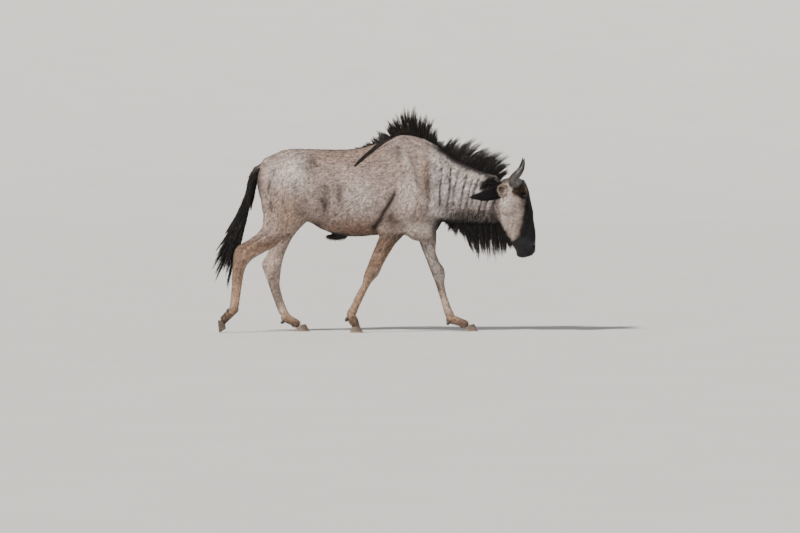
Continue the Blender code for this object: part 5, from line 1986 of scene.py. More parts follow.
@dataclass
class Hoof:
    """One half of a cloven hoof."""

    name: str
    heel: tuple[float, float]
    length: float
    pitch: float
    foot_y: float
    hand: float
    outline: Rows = (
        (0.02, 0.30), (0.06, 0.07), (0.28, 0.05), (0.50, 0.05), (0.72, 0.05), (0.92, 0.07), (0.995, 0.20),
        (0.96, 0.42), (0.86, 0.62), (0.74, 0.80), (0.58, 0.94), (0.42, 0.99), (0.24, 0.96), (0.10, 0.82),
        (0.03, 0.58),
    )
    half_width: float = 0.035
    toe_height: float = 0.052
    heel_height: float = 0.032
    top_share: float = 0.66
    top_back: float = 0.06
    rings: int = 14

    def smooth_outline(self) -> np.ndarray:
        """The outline with three points between its corners, rounded.

        Returns:
            Rows of share forward and share outward.
        """
        shape = np.array(self.outline)
        for _ in range(2):
            after = np.roll(shape, -1, axis=0)
            shape = np.stack((0.75 * shape + 0.25 * after, 0.25 * shape + 0.75 * after), axis=1).reshape(-1, 2)
        return shape

    def build(self) -> bpy.types.Object:
        """The hoof's wall, sole and coronet.

        Returns:
            The hoof.
        """
        shape = self.smooth_outline()
        count = len(shape)
        middle = shape.mean(axis=0)
        levels = []
        for ring in range(self.rings + 1):
            share = ring / self.rings
            rounding = 0.10 * ramp(np.array(share), 0.86, 1.0)
            ridge = 1.0 + 0.010 * math.sin(share * 31.0) - (0.030 if ring == 0 else 0.0) - rounding
            edge = middle + (shape - middle) * ridge
            low = np.stack((edge[:, 0] * self.length, edge[:, 1] * self.half_width), axis=-1)
            back = (self.top_back + edge[:, 0] * self.top_share) * self.length
            high = np.stack((back, (0.04 + edge[:, 1] * 0.84) * self.half_width), axis=-1)
            flat = low + (high - low) * share
            height = (self.heel_height + (self.toe_height - self.heel_height) * shape[:, 0]) * share
            levels.append(np.stack((flat[:, 0], flat[:, 1] * self.hand, height), axis=-1))
        points = np.concatenate(levels)
        top = np.array([levels[-1].mean(axis=0) + np.array((0.0, 0.0, 0.004))])
        points = np.concatenate((points, top))
        turn = np.array(Matrix.Rotation(math.radians(self.pitch), 3, "Y"))
        placed = points @ turn.T + np.array((self.heel[0], self.foot_y, self.heel[1]))
        faces = [tuple(range(count))] + ring_faces(self.rings + 1, count)
        last = self.rings * count
        faces += [(last + step, last + (step + 1) % count, len(points) - 1) for step in range(count)]
        item = object_from(self.name, placed, faces)
        face_outward(item)
        if self.pitch:
            cut_below_floor(item)
        item.data.set_sharp_from_angle(angle=math.radians(50.0))
        where = points_of(item.data)
        write_layer(item.data, COLOUR, "FLOAT_COLOR", self.colours(where))
        return item

    @staticmethod
    def colours(points: np.ndarray) -> np.ndarray:
        """Grey-brown horn, darker at the coronet, dusty at the ground.

        Args:
            points: Places on the hoof.

        Returns:
            Linear colours.
        """
        canvas = Canvas(len(points), (104, 90, 79))
        canvas.lay(0.7 * ramp(points[:, 2], 0.030, 0.052), (58, 48, 43))
        canvas.lay(0.5 * ramp(points[:, 2], 0.016, 0.002), (150, 132, 112))
        canvas.shade(1.0 + 0.22 * noise(points, (50.0, 50.0, 260.0), 41))
        return canvas.rgb


def cut_below_floor(item: bpy.types.Object) -> None:
    """Cut a mesh off flat at the floor and close it.

    Args:
        item: The object.
    """
    work = bmesh.new()
    work.from_mesh(item.data)
    everything = [*work.verts, *work.edges, *work.faces]
    ground = {"plane_co": (0, 0, 0), "plane_no": (0, 0, -1)}
    bmesh.ops.bisect_plane(work, geom=everything, dist=1.0e-6, clear_outer=True, **ground)
    bmesh.ops.holes_fill(work, edges=[edge for edge in work.edges if edge.is_boundary], sides=0)
    bmesh.ops.recalc_face_normals(work, faces=work.faces)
    work.to_mesh(item.data)
    work.free()


@dataclass
class Dewclaw:
    """One small blunt claw behind the fetlock."""

    name: str
    place: Point
    tilt: float
    radius: float = 0.0115
    length: float = 0.034
    rings: int = 18
    sides: int = 20

    def build(self) -> bpy.types.Object:
        """The claw with its growth rings.

        Returns:
            The claw.
        """
        points = []
        for ring in range(1, self.rings):
            polar = math.pi * ring / self.rings
            level = -math.cos(polar)
            size = self.radius * math.sin(polar) ** 0.75 * (1.0 - 0.10 * level) * (1.0 + 0.03 * math.sin(22.0 * level))
            for step in range(self.sides):
                angle = 2.0 * math.pi * step / self.sides
                points.append((math.cos(angle) * size, 0.85 * math.sin(angle) * size, 0.5 * self.length * level))
        points += [(0.0, 0.0, -0.5 * self.length), (0.0, 0.0, 0.5 * self.length)]
        turn = Matrix.Translation(self.place) @ Matrix.Rotation(math.radians(self.tilt), 4, "Y")
        placed = np.array([tuple(turn @ Vector(point)) for point in points])
        canvas = Canvas(len(placed), (52, 45, 42))
        canvas.shade(1.0 + 0.25 * noise(placed, (200.0, 200.0, 200.0), 43))
        return painted(self.name, placed, ring_faces(self.rings - 1, self.sides, poles=True), canvas.rgb)


@dataclass
class Feet:
    """The eight half hooves and eight dewclaws."""

    hooves: dict = field(
        default_factory=lambda: {
            "fore_right": ((-0.176, 0.0), 0.098, 0.0, "foreleg_right"),
            "fore_left": ((0.634, 0.0), 0.098, 0.0, "foreleg_left"),
            "hind_right": ((-1.102, 0.088), 0.094, 84.0, "hindleg_right"),
            "hind_left": ((-0.556, 0.0), 0.098, 0.0, "hindleg_left"),
        }
    )
    dewclaws: dict = field(
        default_factory=lambda: {
            "fore_right": (-0.197, 0.094, 25.0),
            "fore_left": (0.520, 0.058, 60.0),
            "hind_right": (-1.030, 0.150, -20.0),
            "hind_left": (-0.650, 0.066, 60.0),
        }
    )
    dewclaw_spread: float = 0.017

    def build(self, finish: bpy.types.Material) -> list[bpy.types.Object]:
        """Build and dress all of them.

        Args:
            finish: The hoof's material.

        Returns:
            The pieces.
        """
        made = []
        for foot, (heel, length, pitch, leg) in self.hooves.items():
            plan = LEG_PLANS[leg]
            for word, hand in (("outer", plan.side), ("inner", -plan.side)):
                hoof = Hoof(f"half_hoof_{foot}_{word}", heel, length, pitch, plan.foot_y, hand).build()
                made.append(mount(hoof, finish, "hoof", f"hoof_{foot}_{word}"))
                x, z, tilt = self.dewclaws[foot]
                place = (x, plan.foot_y + self.dewclaw_spread * hand, z)
                claw = Dewclaw(f"claw_{foot}_{word}", place, tilt).build()
                made.append(mount(claw, finish, "hoof", f"dewclaw_{foot}_{word}"))
        return made


def mount(item: bpy.types.Object, finish: bpy.types.Material, slot: str, *nodes: str) -> bpy.types.Object:
    """Dress a finished piece, move it to the frame's X and tie it to the frame.

    Args:
        item: The piece.
        finish: Its material.
        slot: Not used.
        nodes: The nodes of the frame that it stands for.

    Returns:
        The piece.
    """
    wear(item, finish)
    shift_outline(item)
    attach(item, "root")
    if nodes:
        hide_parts(*nodes)
    LOG.info("%s: %d faces", item.name, len(item.data.polygons))
    return item


# The short coat


@dataclass(frozen=True)
class CoatPatch:
    """A part of the coat: its name, slot, spacing and where it grows."""

    name: str
    slot: str
    spacing: float
    low: Point
    high: Point
    seed: int

    def share(self, points: np.ndarray) -> np.ndarray:
        """1 inside the patch's box and 0 outside it.

        Args:
            points: Places on the hide.

        Returns:
            The shares.
        """
        inside = np.all((points >= np.array(self.low)) & (points < np.array(self.high)), axis=1)
        return inside.astype(float)


def new_tree(name: str, inputs: dict[str, str], output: str) -> tuple[Nodes, bpy.types.bpy_prop_collection]:
    """A node group with named inputs and one output.

    Args:
        name: The group's name.
        inputs: The kind of each input, by its name.
        output: The output's name.

    Returns:
        A helper for its nodes, and the inputs' sockets.
    """
    tree = bpy.data.node_groups.new(name, "GeometryNodeTree")
    for socket, kind in inputs.items():
        tree.interface.new_socket(socket, in_out="INPUT", socket_type=f"NodeSocket{kind}")
    tree.interface.new_socket(output, in_out="OUTPUT", socket_type="NodeSocketGeometry")
    nodes = Nodes(tree)
    return nodes, nodes.add("NodeGroupInput").outputs


def close_tree(
    nodes: Nodes, grown: bpy.types.NodeSocket, finish: bpy.types.NodeSocket, output: str
) -> bpy.types.NodeTree:
    """Make a tree's instances real, dress them and hand them out.

    Args:
        nodes: The tree's nodes.
        grown: What they made.
        finish: The material.
        output: The output's name.

    Returns:
        The tree.
    """
    real = nodes.add("GeometryNodeRealizeInstances", {"Geometry": grown})
    dressed = nodes.add("GeometryNodeSetMaterial", {"Geometry": real.outputs[0], "Material": finish})
    nodes.add("NodeGroupOutput", {output: dressed.outputs[0]})
    return nodes.tree


@dataclass
class ShortCoat:
    """Tufts of short hair over the whole skin, lying along it."""

    wander: float = 0.22
    patches: tuple[CoatPatch, ...] = (
        CoatPatch("coat_barrel_right", "hide_grey", 0.0075, (-0.36, -1.0, 0.64), (0.36, 0.0, 2.0), 1),
        CoatPatch("coat_barrel_left", "hide_grey", 0.0075, (-0.36, 0.0, 0.64), (0.36, 1.0, 2.0), 2),
        CoatPatch("coat_rump", "hide_grey", 0.0080, (-1.2, -1.0, 0.70), (-0.36, 1.0, 2.0), 3),
        CoatPatch("coat_neck", "hide_neck", 0.0068, (0.36, -1.0, 0.64), (0.85, 1.0, 2.0), 4),
        CoatPatch("coat_head", "hide_face", 0.0040, (0.85, -1.0, 0.50), (1.20, 1.0, 2.0), 5),
        CoatPatch("coat_hindlegs", "hide_leg", 0.0058, (-1.2, -1.0, 0.0), (-0.36, 1.0, 0.70), 6),
        CoatPatch("coat_forelegs", "hide_leg", 0.0058, (-0.36, -1.0, 0.0), (0.80, 1.0, 0.64), 7),
    )
    tuft_points: int = 7

    def templates(self) -> bpy.types.Collection:
        """Three shapes of tuft, one long, lying along X.

        Returns:
            Their collection.
        """
        collection = bpy.data.collections.new("tuft_shapes")
        for number, bend in enumerate((-0.10, 0.02, 0.13)):
            points = [
                (-0.04, -0.045, -0.030),
                (-0.04, 0.045, -0.030),
                (-0.02, 0.0, 0.045),
                (0.45, -0.060 + 0.3 * bend, 0.030),
                (0.45, 0.060 + 0.3 * bend, 0.030),
                (0.42, 0.3 * bend, 0.085),
                (1.0, bend, 0.125),
            ]
            faces = [(0, 2, 1), (0, 1, 4, 3), (1, 2, 5, 4), (2, 0, 3, 5), (3, 4, 6), (4, 5, 6), (5, 3, 6)]
            item = object_from(f"tuft_{number}", np.array(points), faces)
            bpy.context.scene.collection.objects.unlink(item)
            collection.objects.link(item)
        return collection

    @staticmethod
    def tree() -> bpy.types.NodeTree:
        """The nodes that strew tufts over a skin.

        Returns:
            The node group.
        """
        inputs = {"Skin": "Geometry", "Spacing": "Float", "Wander": "Float"}
        inputs |= {"Seed": "Int", "Shapes": "Collection", "Finish": "Material"}
        nodes, given = new_tree("strewn_tufts", inputs, "Coat")
        links = {"Mesh": given["Skin"], "Distance Min": given["Spacing"], "Density Max": 60000.0}
        links |= {"Density Factor": named(nodes, "grows", "FLOAT"), "Seed": given["Seed"]}
        strewn = nodes.add("GeometryNodeDistributePointsOnFaces", links, distribute_method="POISSON")
        place = nodes.add("GeometryNodeInputPosition").outputs[0]
        links = {"Geometry": strewn.outputs["Points"], "Name": "root", "Value": place}
        stored = nodes.add("GeometryNodeStoreNamedAttribute", links, data_type="FLOAT_VECTOR", domain="POINT")
        axes = {"Primary Axis": strewn.outputs["Normal"], "Secondary Axis": named(nodes, LIE, "FLOAT_VECTOR")}
        upright = nodes.add("FunctionNodeAxesToRotation", axes, primary_axis="Z", secondary_axis="X")
        minus = nodes.add("ShaderNodeMath", {0: given["Wander"], 1: -1.0}, operation="MULTIPLY")
        links = {"Seed": given["Seed"], 2: minus.outputs[0], 3: given["Wander"]}
        swing = nodes.add("FunctionNodeRandomValue", links, data_type="FLOAT")
        spin = nodes.add("FunctionNodeAxisAngleToRotation", {"Axis": (0, 0, 1), "Angle": swing.outputs[1]})
        links = {0: upright.outputs[0], 1: spin.outputs[0]}
        turned = nodes.add("FunctionNodeRotateRotation", links, rotation_space="LOCAL")
        vary = nodes.add("FunctionNodeRandomValue", {2: 0.70, 3: 1.25, "Seed": 77}, data_type="FLOAT")
        length = named(nodes, LENGTH, "FLOAT")
        size = nodes.add("ShaderNodeMath", {0: vary.outputs[1], 1: length}, operation="MULTIPLY")
        pick = nodes.add("FunctionNodeRandomValue", {4: 0, 5: 2, "Seed": 5}, data_type="INT")
        shapes = nodes.add("GeometryNodeCollectionInfo", {"Collection": given["Shapes"], "Separate Children": True})
        links = {"Points": stored.outputs[0], "Instance": shapes.outputs[0], "Pick Instance": True}
        links |= {"Instance Index": pick.outputs[2], "Rotation": turned.outputs[0], "Scale": size.outputs[0]}
        grown = nodes.add("GeometryNodeInstanceOnPoints", links)
        return close_tree(nodes, grown.outputs[0], given["Finish"], "Coat")

    def build(self, skin: bpy.types.Object, finish: bpy.types.Material) -> list[bpy.types.Object]:
        """Grow every patch of the coat.

        Args:
            skin: The finished skin, in the outline's own X.
            finish: The fur's material.

        Returns:
            The coat's pieces.
        """
        tree = self.tree()
        shapes = self.templates()
        points = points_of(skin.data)
        made = []
        for piece in self.patches:
            item = bpy.data.objects.new(piece.name, skin.data.copy())
            bpy.context.scene.collection.objects.link(item)
            write_layer(item.data, "grows", "FLOAT", piece.share(points) * tuft_share(points))
            values = {"Spacing": piece.spacing, "Wander": self.wander, "Seed": piece.seed}
            run_nodes(item, tree, values | {"Shapes": shapes, "Finish": finish})
            self.tint(item)
            item.data.shade_smooth()
            made.append(mount(item, finish, piece.slot))
        for shape in list(shapes.objects):
            bpy.data.objects.remove(shape)
        bpy.data.collections.remove(shapes)
        return made

    def tint(self, item: bpy.types.Object) -> None:
        """Colour every tuft from its root to its tip, and lay its patch on the unwrap.

        Args:
            item: A piece of the coat.
        """
        mesh = item.data
        count = self.tuft_points
        roots = read_layer(mesh, "root", 3)[::count]
        paint = read_layer(mesh, COLOUR, 4)[::count, :3]
        chance = lattice(np.round(roots * 4000.0), 3)
        clump = noise(roots, (62.0, 110.0, 100.0), 51)
        tone = np.maximum(0.70 + 0.40 * chance + 0.85 * clump, 0.25)
        shade = tone[:, None] * np.array((0.72, 0.72, 0.80, 1.0, 1.0, 1.06, 1.22))
        colour = np.clip(paint[:, None, :] * shade[:, :, None], 0.002, 0.95)
        write_layer(mesh, COLOUR, "FLOAT_COLOR", colour.reshape(-1, 3))
        across = np.array((-0.5, 0.5, 0.0, -0.5, 0.5, 0.0, 0.0)) * BAKE_PATCH
        rise = np.array((0.0, 0.0, 0.1, 0.45, 0.45, 0.5, 1.0)) * BAKE_PATCH
        local = np.stack((across, rise), axis=-1)
        unwrap = np.clip(root_places(roots)[:, None, :] + local, 0.0, 1.0)
        clear_layers(mesh, keep=(COLOUR, LIE))
        write_uv(mesh, BAKE_MAP, unwrap.reshape(-1, 2))


def tuft_share(points: np.ndarray) -> np.ndarray:
    """Where tufts grow: everywhere but on the eye, the lids, the nose and inside the ears.

    Args:
        points: Places on the skin.

    Returns:
        Shares from 0 to 1.
    """
    x, y, z = points.T
    out = np.abs(y)
    eye = np.sqrt((x - EYE_PLACE[0]) ** 2 + (out - EYE_PLACE[1]) ** 2 + (z - EYE_PLACE[2]) ** 2)
    share = ramp(eye, 0.0270, 0.0300)
    nose = ramp(x, 1.080, 1.105) * ramp(z, 0.650, 0.630)
    return share * (1.0 - nose) * ramp(z, 0.045, 0.060)


def named(nodes: Nodes, name: str, kind: str) -> bpy.types.NodeSocket:
    """The socket of a named layer in a node tree."""
    return nodes.add("GeometryNodeInputNamedAttribute", {"Name": name}, data_type=kind).outputs[0]


def run_nodes(item: bpy.types.Object, tree: bpy.types.NodeTree, values: dict[str, object]) -> None:
    """Put an object through a node tree and keep the plain result.

    Args:
        item: The object.
        tree: The node group.
        values: What its named inputs are set to.
    """
    modifier = item.modifiers.new("nodes", "NODES")
    modifier.node_group = tree
    for socket in tree.interface.items_tree:
        if socket.in_out == "INPUT" and socket.name in values:
            modifier[socket.identifier] = values[socket.name]
    settle(item)


def clear_layers(mesh: bpy.types.Mesh, keep: Sequence[str]) -> None:
    """Remove a mesh's named layers that aren't kept.

    Args:
        mesh: The mesh.
        keep: Names of the layers that stay.
    """
    own = ("position", "sharp_face", "sharp_edge", "material_index", *keep)
    for name in [layer.name for layer in mesh.attributes]:
        if name not in own and not name.startswith("."):
            mesh.attributes.remove(mesh.attributes[name])


# Long hair


@dataclass
class Strands:
    """Many strands of hair: their lines, thickness, colour and roots on the unwrap."""

    lines: np.ndarray
    thick: np.ndarray
    colour: np.ndarray
    unwrap: np.ndarray

    @staticmethod
    def together(groups: Sequence[Strands]) -> Strands:
        """All strands of several groups."""
        return Strands(*(np.concatenate([getattr(group, part.name) for group in groups]) for part in fields(Strands)))

    def only(self, which: slice | np.ndarray) -> Strands:
        """The strands that a slice or a mask picks."""
        return Strands(*(getattr(self, part.name)[which] for part in fields(Strands)))


def taper(steps: int, root: float, tip: float) -> np.ndarray:
    """Thickness along a strand that swells a little and then thins to its tip.

    Args:
        steps: Points along the strand.
        root: Radius at the root.
        tip: Radius at the tip.

    Returns:
        One radius for each point.
    """
    share = np.linspace(0.0, 1.0, steps)
    return tip + (root - tip) * np.sqrt(1.0 - share**2.2)


def bent(root: np.ndarray, middle: np.ndarray, tip: np.ndarray, steps: int) -> np.ndarray:
    """Smooth lines from roots past middles to tips.

    Args:
        root: Where the strands start.
        middle: The places that pull them.
        tip: Where they end.
        steps: Points along each.

    Returns:
        The lines' points.
    """
    t = np.linspace(0.0, 1.0, steps)[None, :, None]
    return (1 - t) ** 2 * root[:, None] + 2 * t * (1 - t) * middle[:, None] + t * t * tip[:, None]


def hair_colours(rng: np.random.Generator, count: int, pale: float, tone: Sequence[float] = NEAR_BLACK) -> np.ndarray:
    """Near-black strand colours with some paler brown ones as painted glints.

    Args:
        rng: Random draws.
        count: How many.
        pale: The share of paler brown strands painted as glints.
        tone: The main colour, in screen values.

    Returns:
        Linear colours.
    """
    colours = screen(tone)[None, :] * rng.uniform(0.4, 1.2, (count, 1))
    # Painted glints: a share of the strands is paler brown.
    brown = rng.random(count) < pale
    colours[brown] = screen((74, 60, 52))[None, :] * rng.uniform(0.6, 1.3, (int(brown.sum()), 1))
    return colours


def spun(
    rng: np.random.Generator,
    lines: np.ndarray,
    unwrap: np.ndarray,
    radii: tuple[float, float],
    pale: float,
    tone: Sequence[float] = NEAR_BLACK,
    thinnest: float = 0.7,
) -> Strands:
    """Strands of varied thickness and near-black colour along given lines.

    Args:
        rng: Random draws.
        lines: The strands' points.
        unwrap: Their roots on the unwrap.
        radii: Radius at the root and at the tip.
        pale: The share of paler brown strands painted as glints.
        tone: The main colour, in screen values.
        thinnest: The thinnest strand, as a share of the radii.

    Returns:
        The strands.
    """
    count, steps, _ = lines.shape
    thick = rng.uniform(thinnest, 1.2, (count, 1)) * taper(steps, *radii)
    return Strands(lines, thick, hair_colours(rng, count, pale, tone), unwrap)


class Hairdresser:
    """Sets roots on the skin and turns strands into tubes."""

    def __init__(self, skin: bpy.types.Object) -> None:
        """Take hold of the skin.

        Args:
            skin: What the hair grows from, in the outline's own X.
        """
        work = bmesh.new()
        work.from_mesh(skin.data)
        self.tree = BVHTree.FromBMesh(work)
        work.free()
        self.nodes = self.tube_tree()

    def land(self, points: np.ndarray, heading: Sequence[float], sink: float) -> np.ndarray:
        """Where rays from points meet the skin, sunk a little into it.

        Args:
            points: Where the rays start.
            heading: Their direction.
            sink: How far past the skin they end.

        Returns:
            The places; a ray that misses ends where it started.
        """
        way = Vector(heading).normalized()
        landed = points.copy()
        for number, point in enumerate(points):
            hit = self.tree.ray_cast(Vector(point), way)[0]
            if hit is not None:
                landed[number] = hit + way * sink
        return landed

    @staticmethod
    def tube_tree() -> bpy.types.NodeTree:
        """The nodes that give every line a thin three-sided tube.

        Returns:
            The node group.
        """
        inputs = {"Lines": "Geometry", "Thickness": "Float", "Finish": "Material"}
        nodes, given = new_tree("strand_tubes", inputs, "Hair")
        line = nodes.add("GeometryNodeMeshToCurve", {"Mesh": given["Lines"]})
        ring = nodes.add("GeometryNodeCurvePrimitiveCircle", {"Resolution": 3, "Radius": given["Thickness"]})
        links = {"Curve": line.outputs[0], "Profile Curve": ring.outputs[0], "Fill Caps": True}
        tube = nodes.add("GeometryNodeCurveToMesh", links | {"Scale": named(nodes, "thick", "FLOAT")})
        return close_tree(nodes, tube.outputs[0], given["Finish"], "Hair")

    def part(self, name: str, strands: Strands, finish: bpy.types.Material) -> list[bpy.types.Object]:
        """Dress strands as two pieces of every second strand each, so that neither is too heavy.

        Args:
            name: The pieces' name.
            strands: The strands.
            finish: Their material.

        Returns:
            The two pieces.
        """
        halves = (("inner", slice(0, None, 2)), ("outer", slice(1, None, 2)))
        return [self.dress(f"{name}_{word}", strands.only(half), finish) for word, half in halves]

    def whole(self, name: str, strands: Strands, finish: bpy.types.Material) -> list[bpy.types.Object]:
        """Dress strands as a single piece."""
        return [self.dress(name, strands, finish)]

    def dress(self, name: str, strands: Strands, finish: bpy.types.Material) -> bpy.types.Object:
        """Make the tubes of many strands, with their colours and unwrap.

        Args:
            name: The piece's name.
            strands: The strands.
            finish: Their material.

        Returns:
            The piece, in the outline's own X.
        """
        count, steps, _ = strands.lines.shape
        start = np.arange(count)[:, None] * steps + np.arange(steps - 1)[None, :]
        edges = np.stack((start, start + 1), axis=-1).reshape(-1, 2)
        mesh = bpy.data.meshes.new(name)
        mesh.from_pydata(strands.lines.reshape(-1, 3).tolist(), edges.tolist(), [])
        item = bpy.data.objects.new(name, mesh)
        bpy.context.scene.collection.objects.link(item)
        write_layer(mesh, "thick", "FLOAT", strands.thick.reshape(-1) * 1000.0)
        write_layer(mesh, "strand", "FLOAT", np.repeat(np.arange(count), steps))
        write_layer(mesh, "along", "FLOAT", np.tile(np.linspace(0.0, 1.0, steps), count))
        run_nodes(item, self.nodes, {"Thickness": 0.001, "Finish": finish})
        mesh = item.data
        strand = np.round(read_layer(mesh, "strand", 1)).astype(int)
        along = read_layer(mesh, "along", 1)
        shade = (0.75 + 0.55 * along)[:, None]
        write_layer(mesh, COLOUR, "FLOAT_COLOR", np.clip(strands.colour[strand] * shade, 0.001, 0.95))
        side = np.arange(len(strand)) % 3 - 1.0
        local = np.stack((side * 0.5, along), axis=-1) * BAKE_PATCH
        unwrap = np.clip(strands.unwrap[strand] + local, 0.0, 1.0)
        clear_layers(mesh, keep=(COLOUR,))
        write_uv(mesh, BAKE_MAP, unwrap)
        mesh.shade_smooth()
        return item


@dataclass
class Comb:
    """A row of hair along a line: an outline of roots and tips in the side view, grown in many wisps."""

    outline: Rows
    wisps: int
    half_width: float
    shortest: float
    spread: float = 0.012
    valley: float = 0.86
    steps: int = 7

    def grow(self, rng: np.random.Generator, count: int) -> tuple[np.ndarray, ...]:
        """Draw strands gathered in wisps.

        Args:
            rng: Random draws.
            count: How many strands.

        Returns:
            Root x, root y, tips, place along the row from 0 to 1, and length as a share of the outline's.
        """
        table = np.array(self.outline)
        keys = np.linspace(0.0, 1.0, len(table))
        heads = (np.arange(self.wisps) + rng.uniform(0.1, 0.9, self.wisps)) / self.wisps
        lean = rng.normal(0.0, self.spread, (self.wisps, 2))
        side = rng.uniform(-0.9, 0.9, self.wisps) * self.half_width
        tall = rng.uniform(0.66, 1.06, self.wisps)
        spot = np.sort(rng.random(count))
        near = np.abs((spot + rng.normal(0.0, 0.35 / self.wisps, count))[:, None] - heads[None, :])
        wisp = np.argmin(near, axis=1)
        root_x = np.interp(spot, keys, table[:, 0])
        root_y = self.half_width * np.clip(rng.normal(0.0, 0.5, count), -1.0, 1.0)
        own = np.stack([np.interp(spot, keys, table[:, column]) for column in (1, 2)], axis=-1)
        head = np.stack([np.interp(heads[wisp], keys, table[:, column]) for column in (1, 2)], axis=-1)
        head += lean[wisp]
        pull = rng.uniform(0.50, 0.93, count)[:, None]
        flat = own + (head - own) * pull
        tip_y = side[wisp] * pull[:, 0] + root_y * (1.0 - pull[:, 0]) + rng.normal(0.0, 0.006, count)
        flat += rng.normal(0.0, 0.007, flat.shape)
        between = np.abs(spot * (len(table) - 1.0) - np.round(spot * (len(table) - 1.0)))
        length = tall[wisp] * (1.0 - (1.0 - self.valley) * 2.0 * between)
        length *= self.shortest + (1.0 - self.shortest) * rng.random(count) ** 0.8
        under = rng.random(count) < 0.34
        length[under] *= rng.uniform(0.22, 0.60, int(under.sum()))
        return root_x, root_y, np.stack((flat[:, 0], tip_y, flat[:, 1]), axis=-1), spot, length


@dataclass
class Mane:
    """The erect mane from the withers to the poll."""

    count: int = 8200
    gap: tuple[float, float] = (0.425, 0.478)
    comb: Comb = field(
        default_factory=lambda: Comb(
            (
                (-0.100, -0.140, 1.290), (-0.030, -0.072, 1.322), (0.050, 0.000, 1.392), (0.120, 0.062, 1.438),
                (0.175, 0.095, 1.516), (0.210, 0.140, 1.530), (0.240, 0.193, 1.604), (0.272, 0.256, 1.615),
                (0.306, 0.305, 1.560), (0.340, 0.365, 1.548), (0.372, 0.411, 1.512), (0.430, 0.480, 1.440),
                (0.490, 0.590, 1.392), (0.540, 0.661, 1.385), (0.600, 0.745, 1.363), (0.665, 0.830, 1.332),
                (0.720, 0.881, 1.303), (0.775, 0.930, 1.262), (0.830, 0.965, 1.190), (0.880, 0.960, 1.130),
            ),
            wisps=120,
            half_width=0.019,
            shortest=0.50,
            spread=0.017,
        )
    )

    def strands(self, dresser: Hairdresser) -> Strands:
        """Grow the mane.

        Args:
            dresser: What sets the roots.

        Returns:
            The strands.
        """
        rng = np.random.default_rng(101)
        root_x, root_y, aim, spot, length = self.comb.grow(rng, self.count)
        high = np.stack((root_x, root_y, np.full(self.count, 1.60)), axis=-1)
        root = dresser.land(high, (0, 0, -1), 0.006)
        parted = (root_x > self.gap[0]) & (root_x < self.gap[1])
        length = np.where(parted, length * 0.55, length)
        tip = root + (aim - root) * length[:, None]
        reach = np.linalg.norm(tip - root, axis=1)
        forward = ramp(root_x, 0.36, 0.55)
        middle = 0.5 * (root + tip)
        middle[:, 2] += (0.04 + 0.12 * forward) * reach
        middle[:, 0] -= 0.10 * reach
        middle += rng.normal(0.0, 0.05, middle.shape) * reach[:, None]
        wild = rng.random(self.count) < 0.05
        tip[wild] += rng.normal(0.0, 0.014, (int(wild.sum()), 3)) * np.array((1.0, 0.8, 0.4))
        lines = bent(root, middle, tip, self.comb.steps)
        return spun(rng, lines, MANE_CHART.place(spot, 0.5 + root_y / 0.08), (0.00085, 0.00018), 0.10)


@dataclass
class Beard:
    """The beard under throat and jaw."""

    count: int = 4200
    comb: Comb = field(
        default_factory=lambda: Comb(
            (
                (0.500, 0.506, 0.748), (0.540, 0.546, 0.700), (0.585, 0.600, 0.660), (0.630, 0.706, 0.500),
                (0.690, 0.745, 0.490), (0.740, 0.772, 0.476), (0.780, 0.812, 0.480), (0.825, 0.851, 0.495),
                (0.870, 0.900, 0.508), (0.905, 0.930, 0.505), (0.935, 0.955, 0.565), (0.955, 0.978, 0.622),
            ),
            wisps=52,
            half_width=0.040,
            shortest=0.50,
            spread=0.016,
        )
    )

    def strands(self, dresser: Hairdresser) -> Strands:
        """Grow the beard.

        Args:
            dresser: What sets the roots.

        Returns:
            The strands.
        """
        rng = np.random.default_rng(202)
        root_x, root_y, aim, spot, length = self.comb.grow(rng, self.count)
        low = np.stack((root_x, root_y, np.full(self.count, 0.40)), axis=-1)
        root = dresser.land(low, (0, 0, 1), 0.006)
        tip = root + (aim - root) * length[:, None]
        reach = np.linalg.norm(tip - root, axis=1)
        middle = 0.5 * (root + tip)
        middle[:, 0] -= 0.22 * (tip[:, 0] - root[:, 0])
        middle += rng.normal(0.0, 0.045, middle.shape) * reach[:, None]
        lines = bent(root, middle, tip, self.comb.steps)
        return spun(rng, lines, BEARD_CHART.place(spot, 0.5 + root_y / 0.12), (0.00090, 0.00020), 0.06)


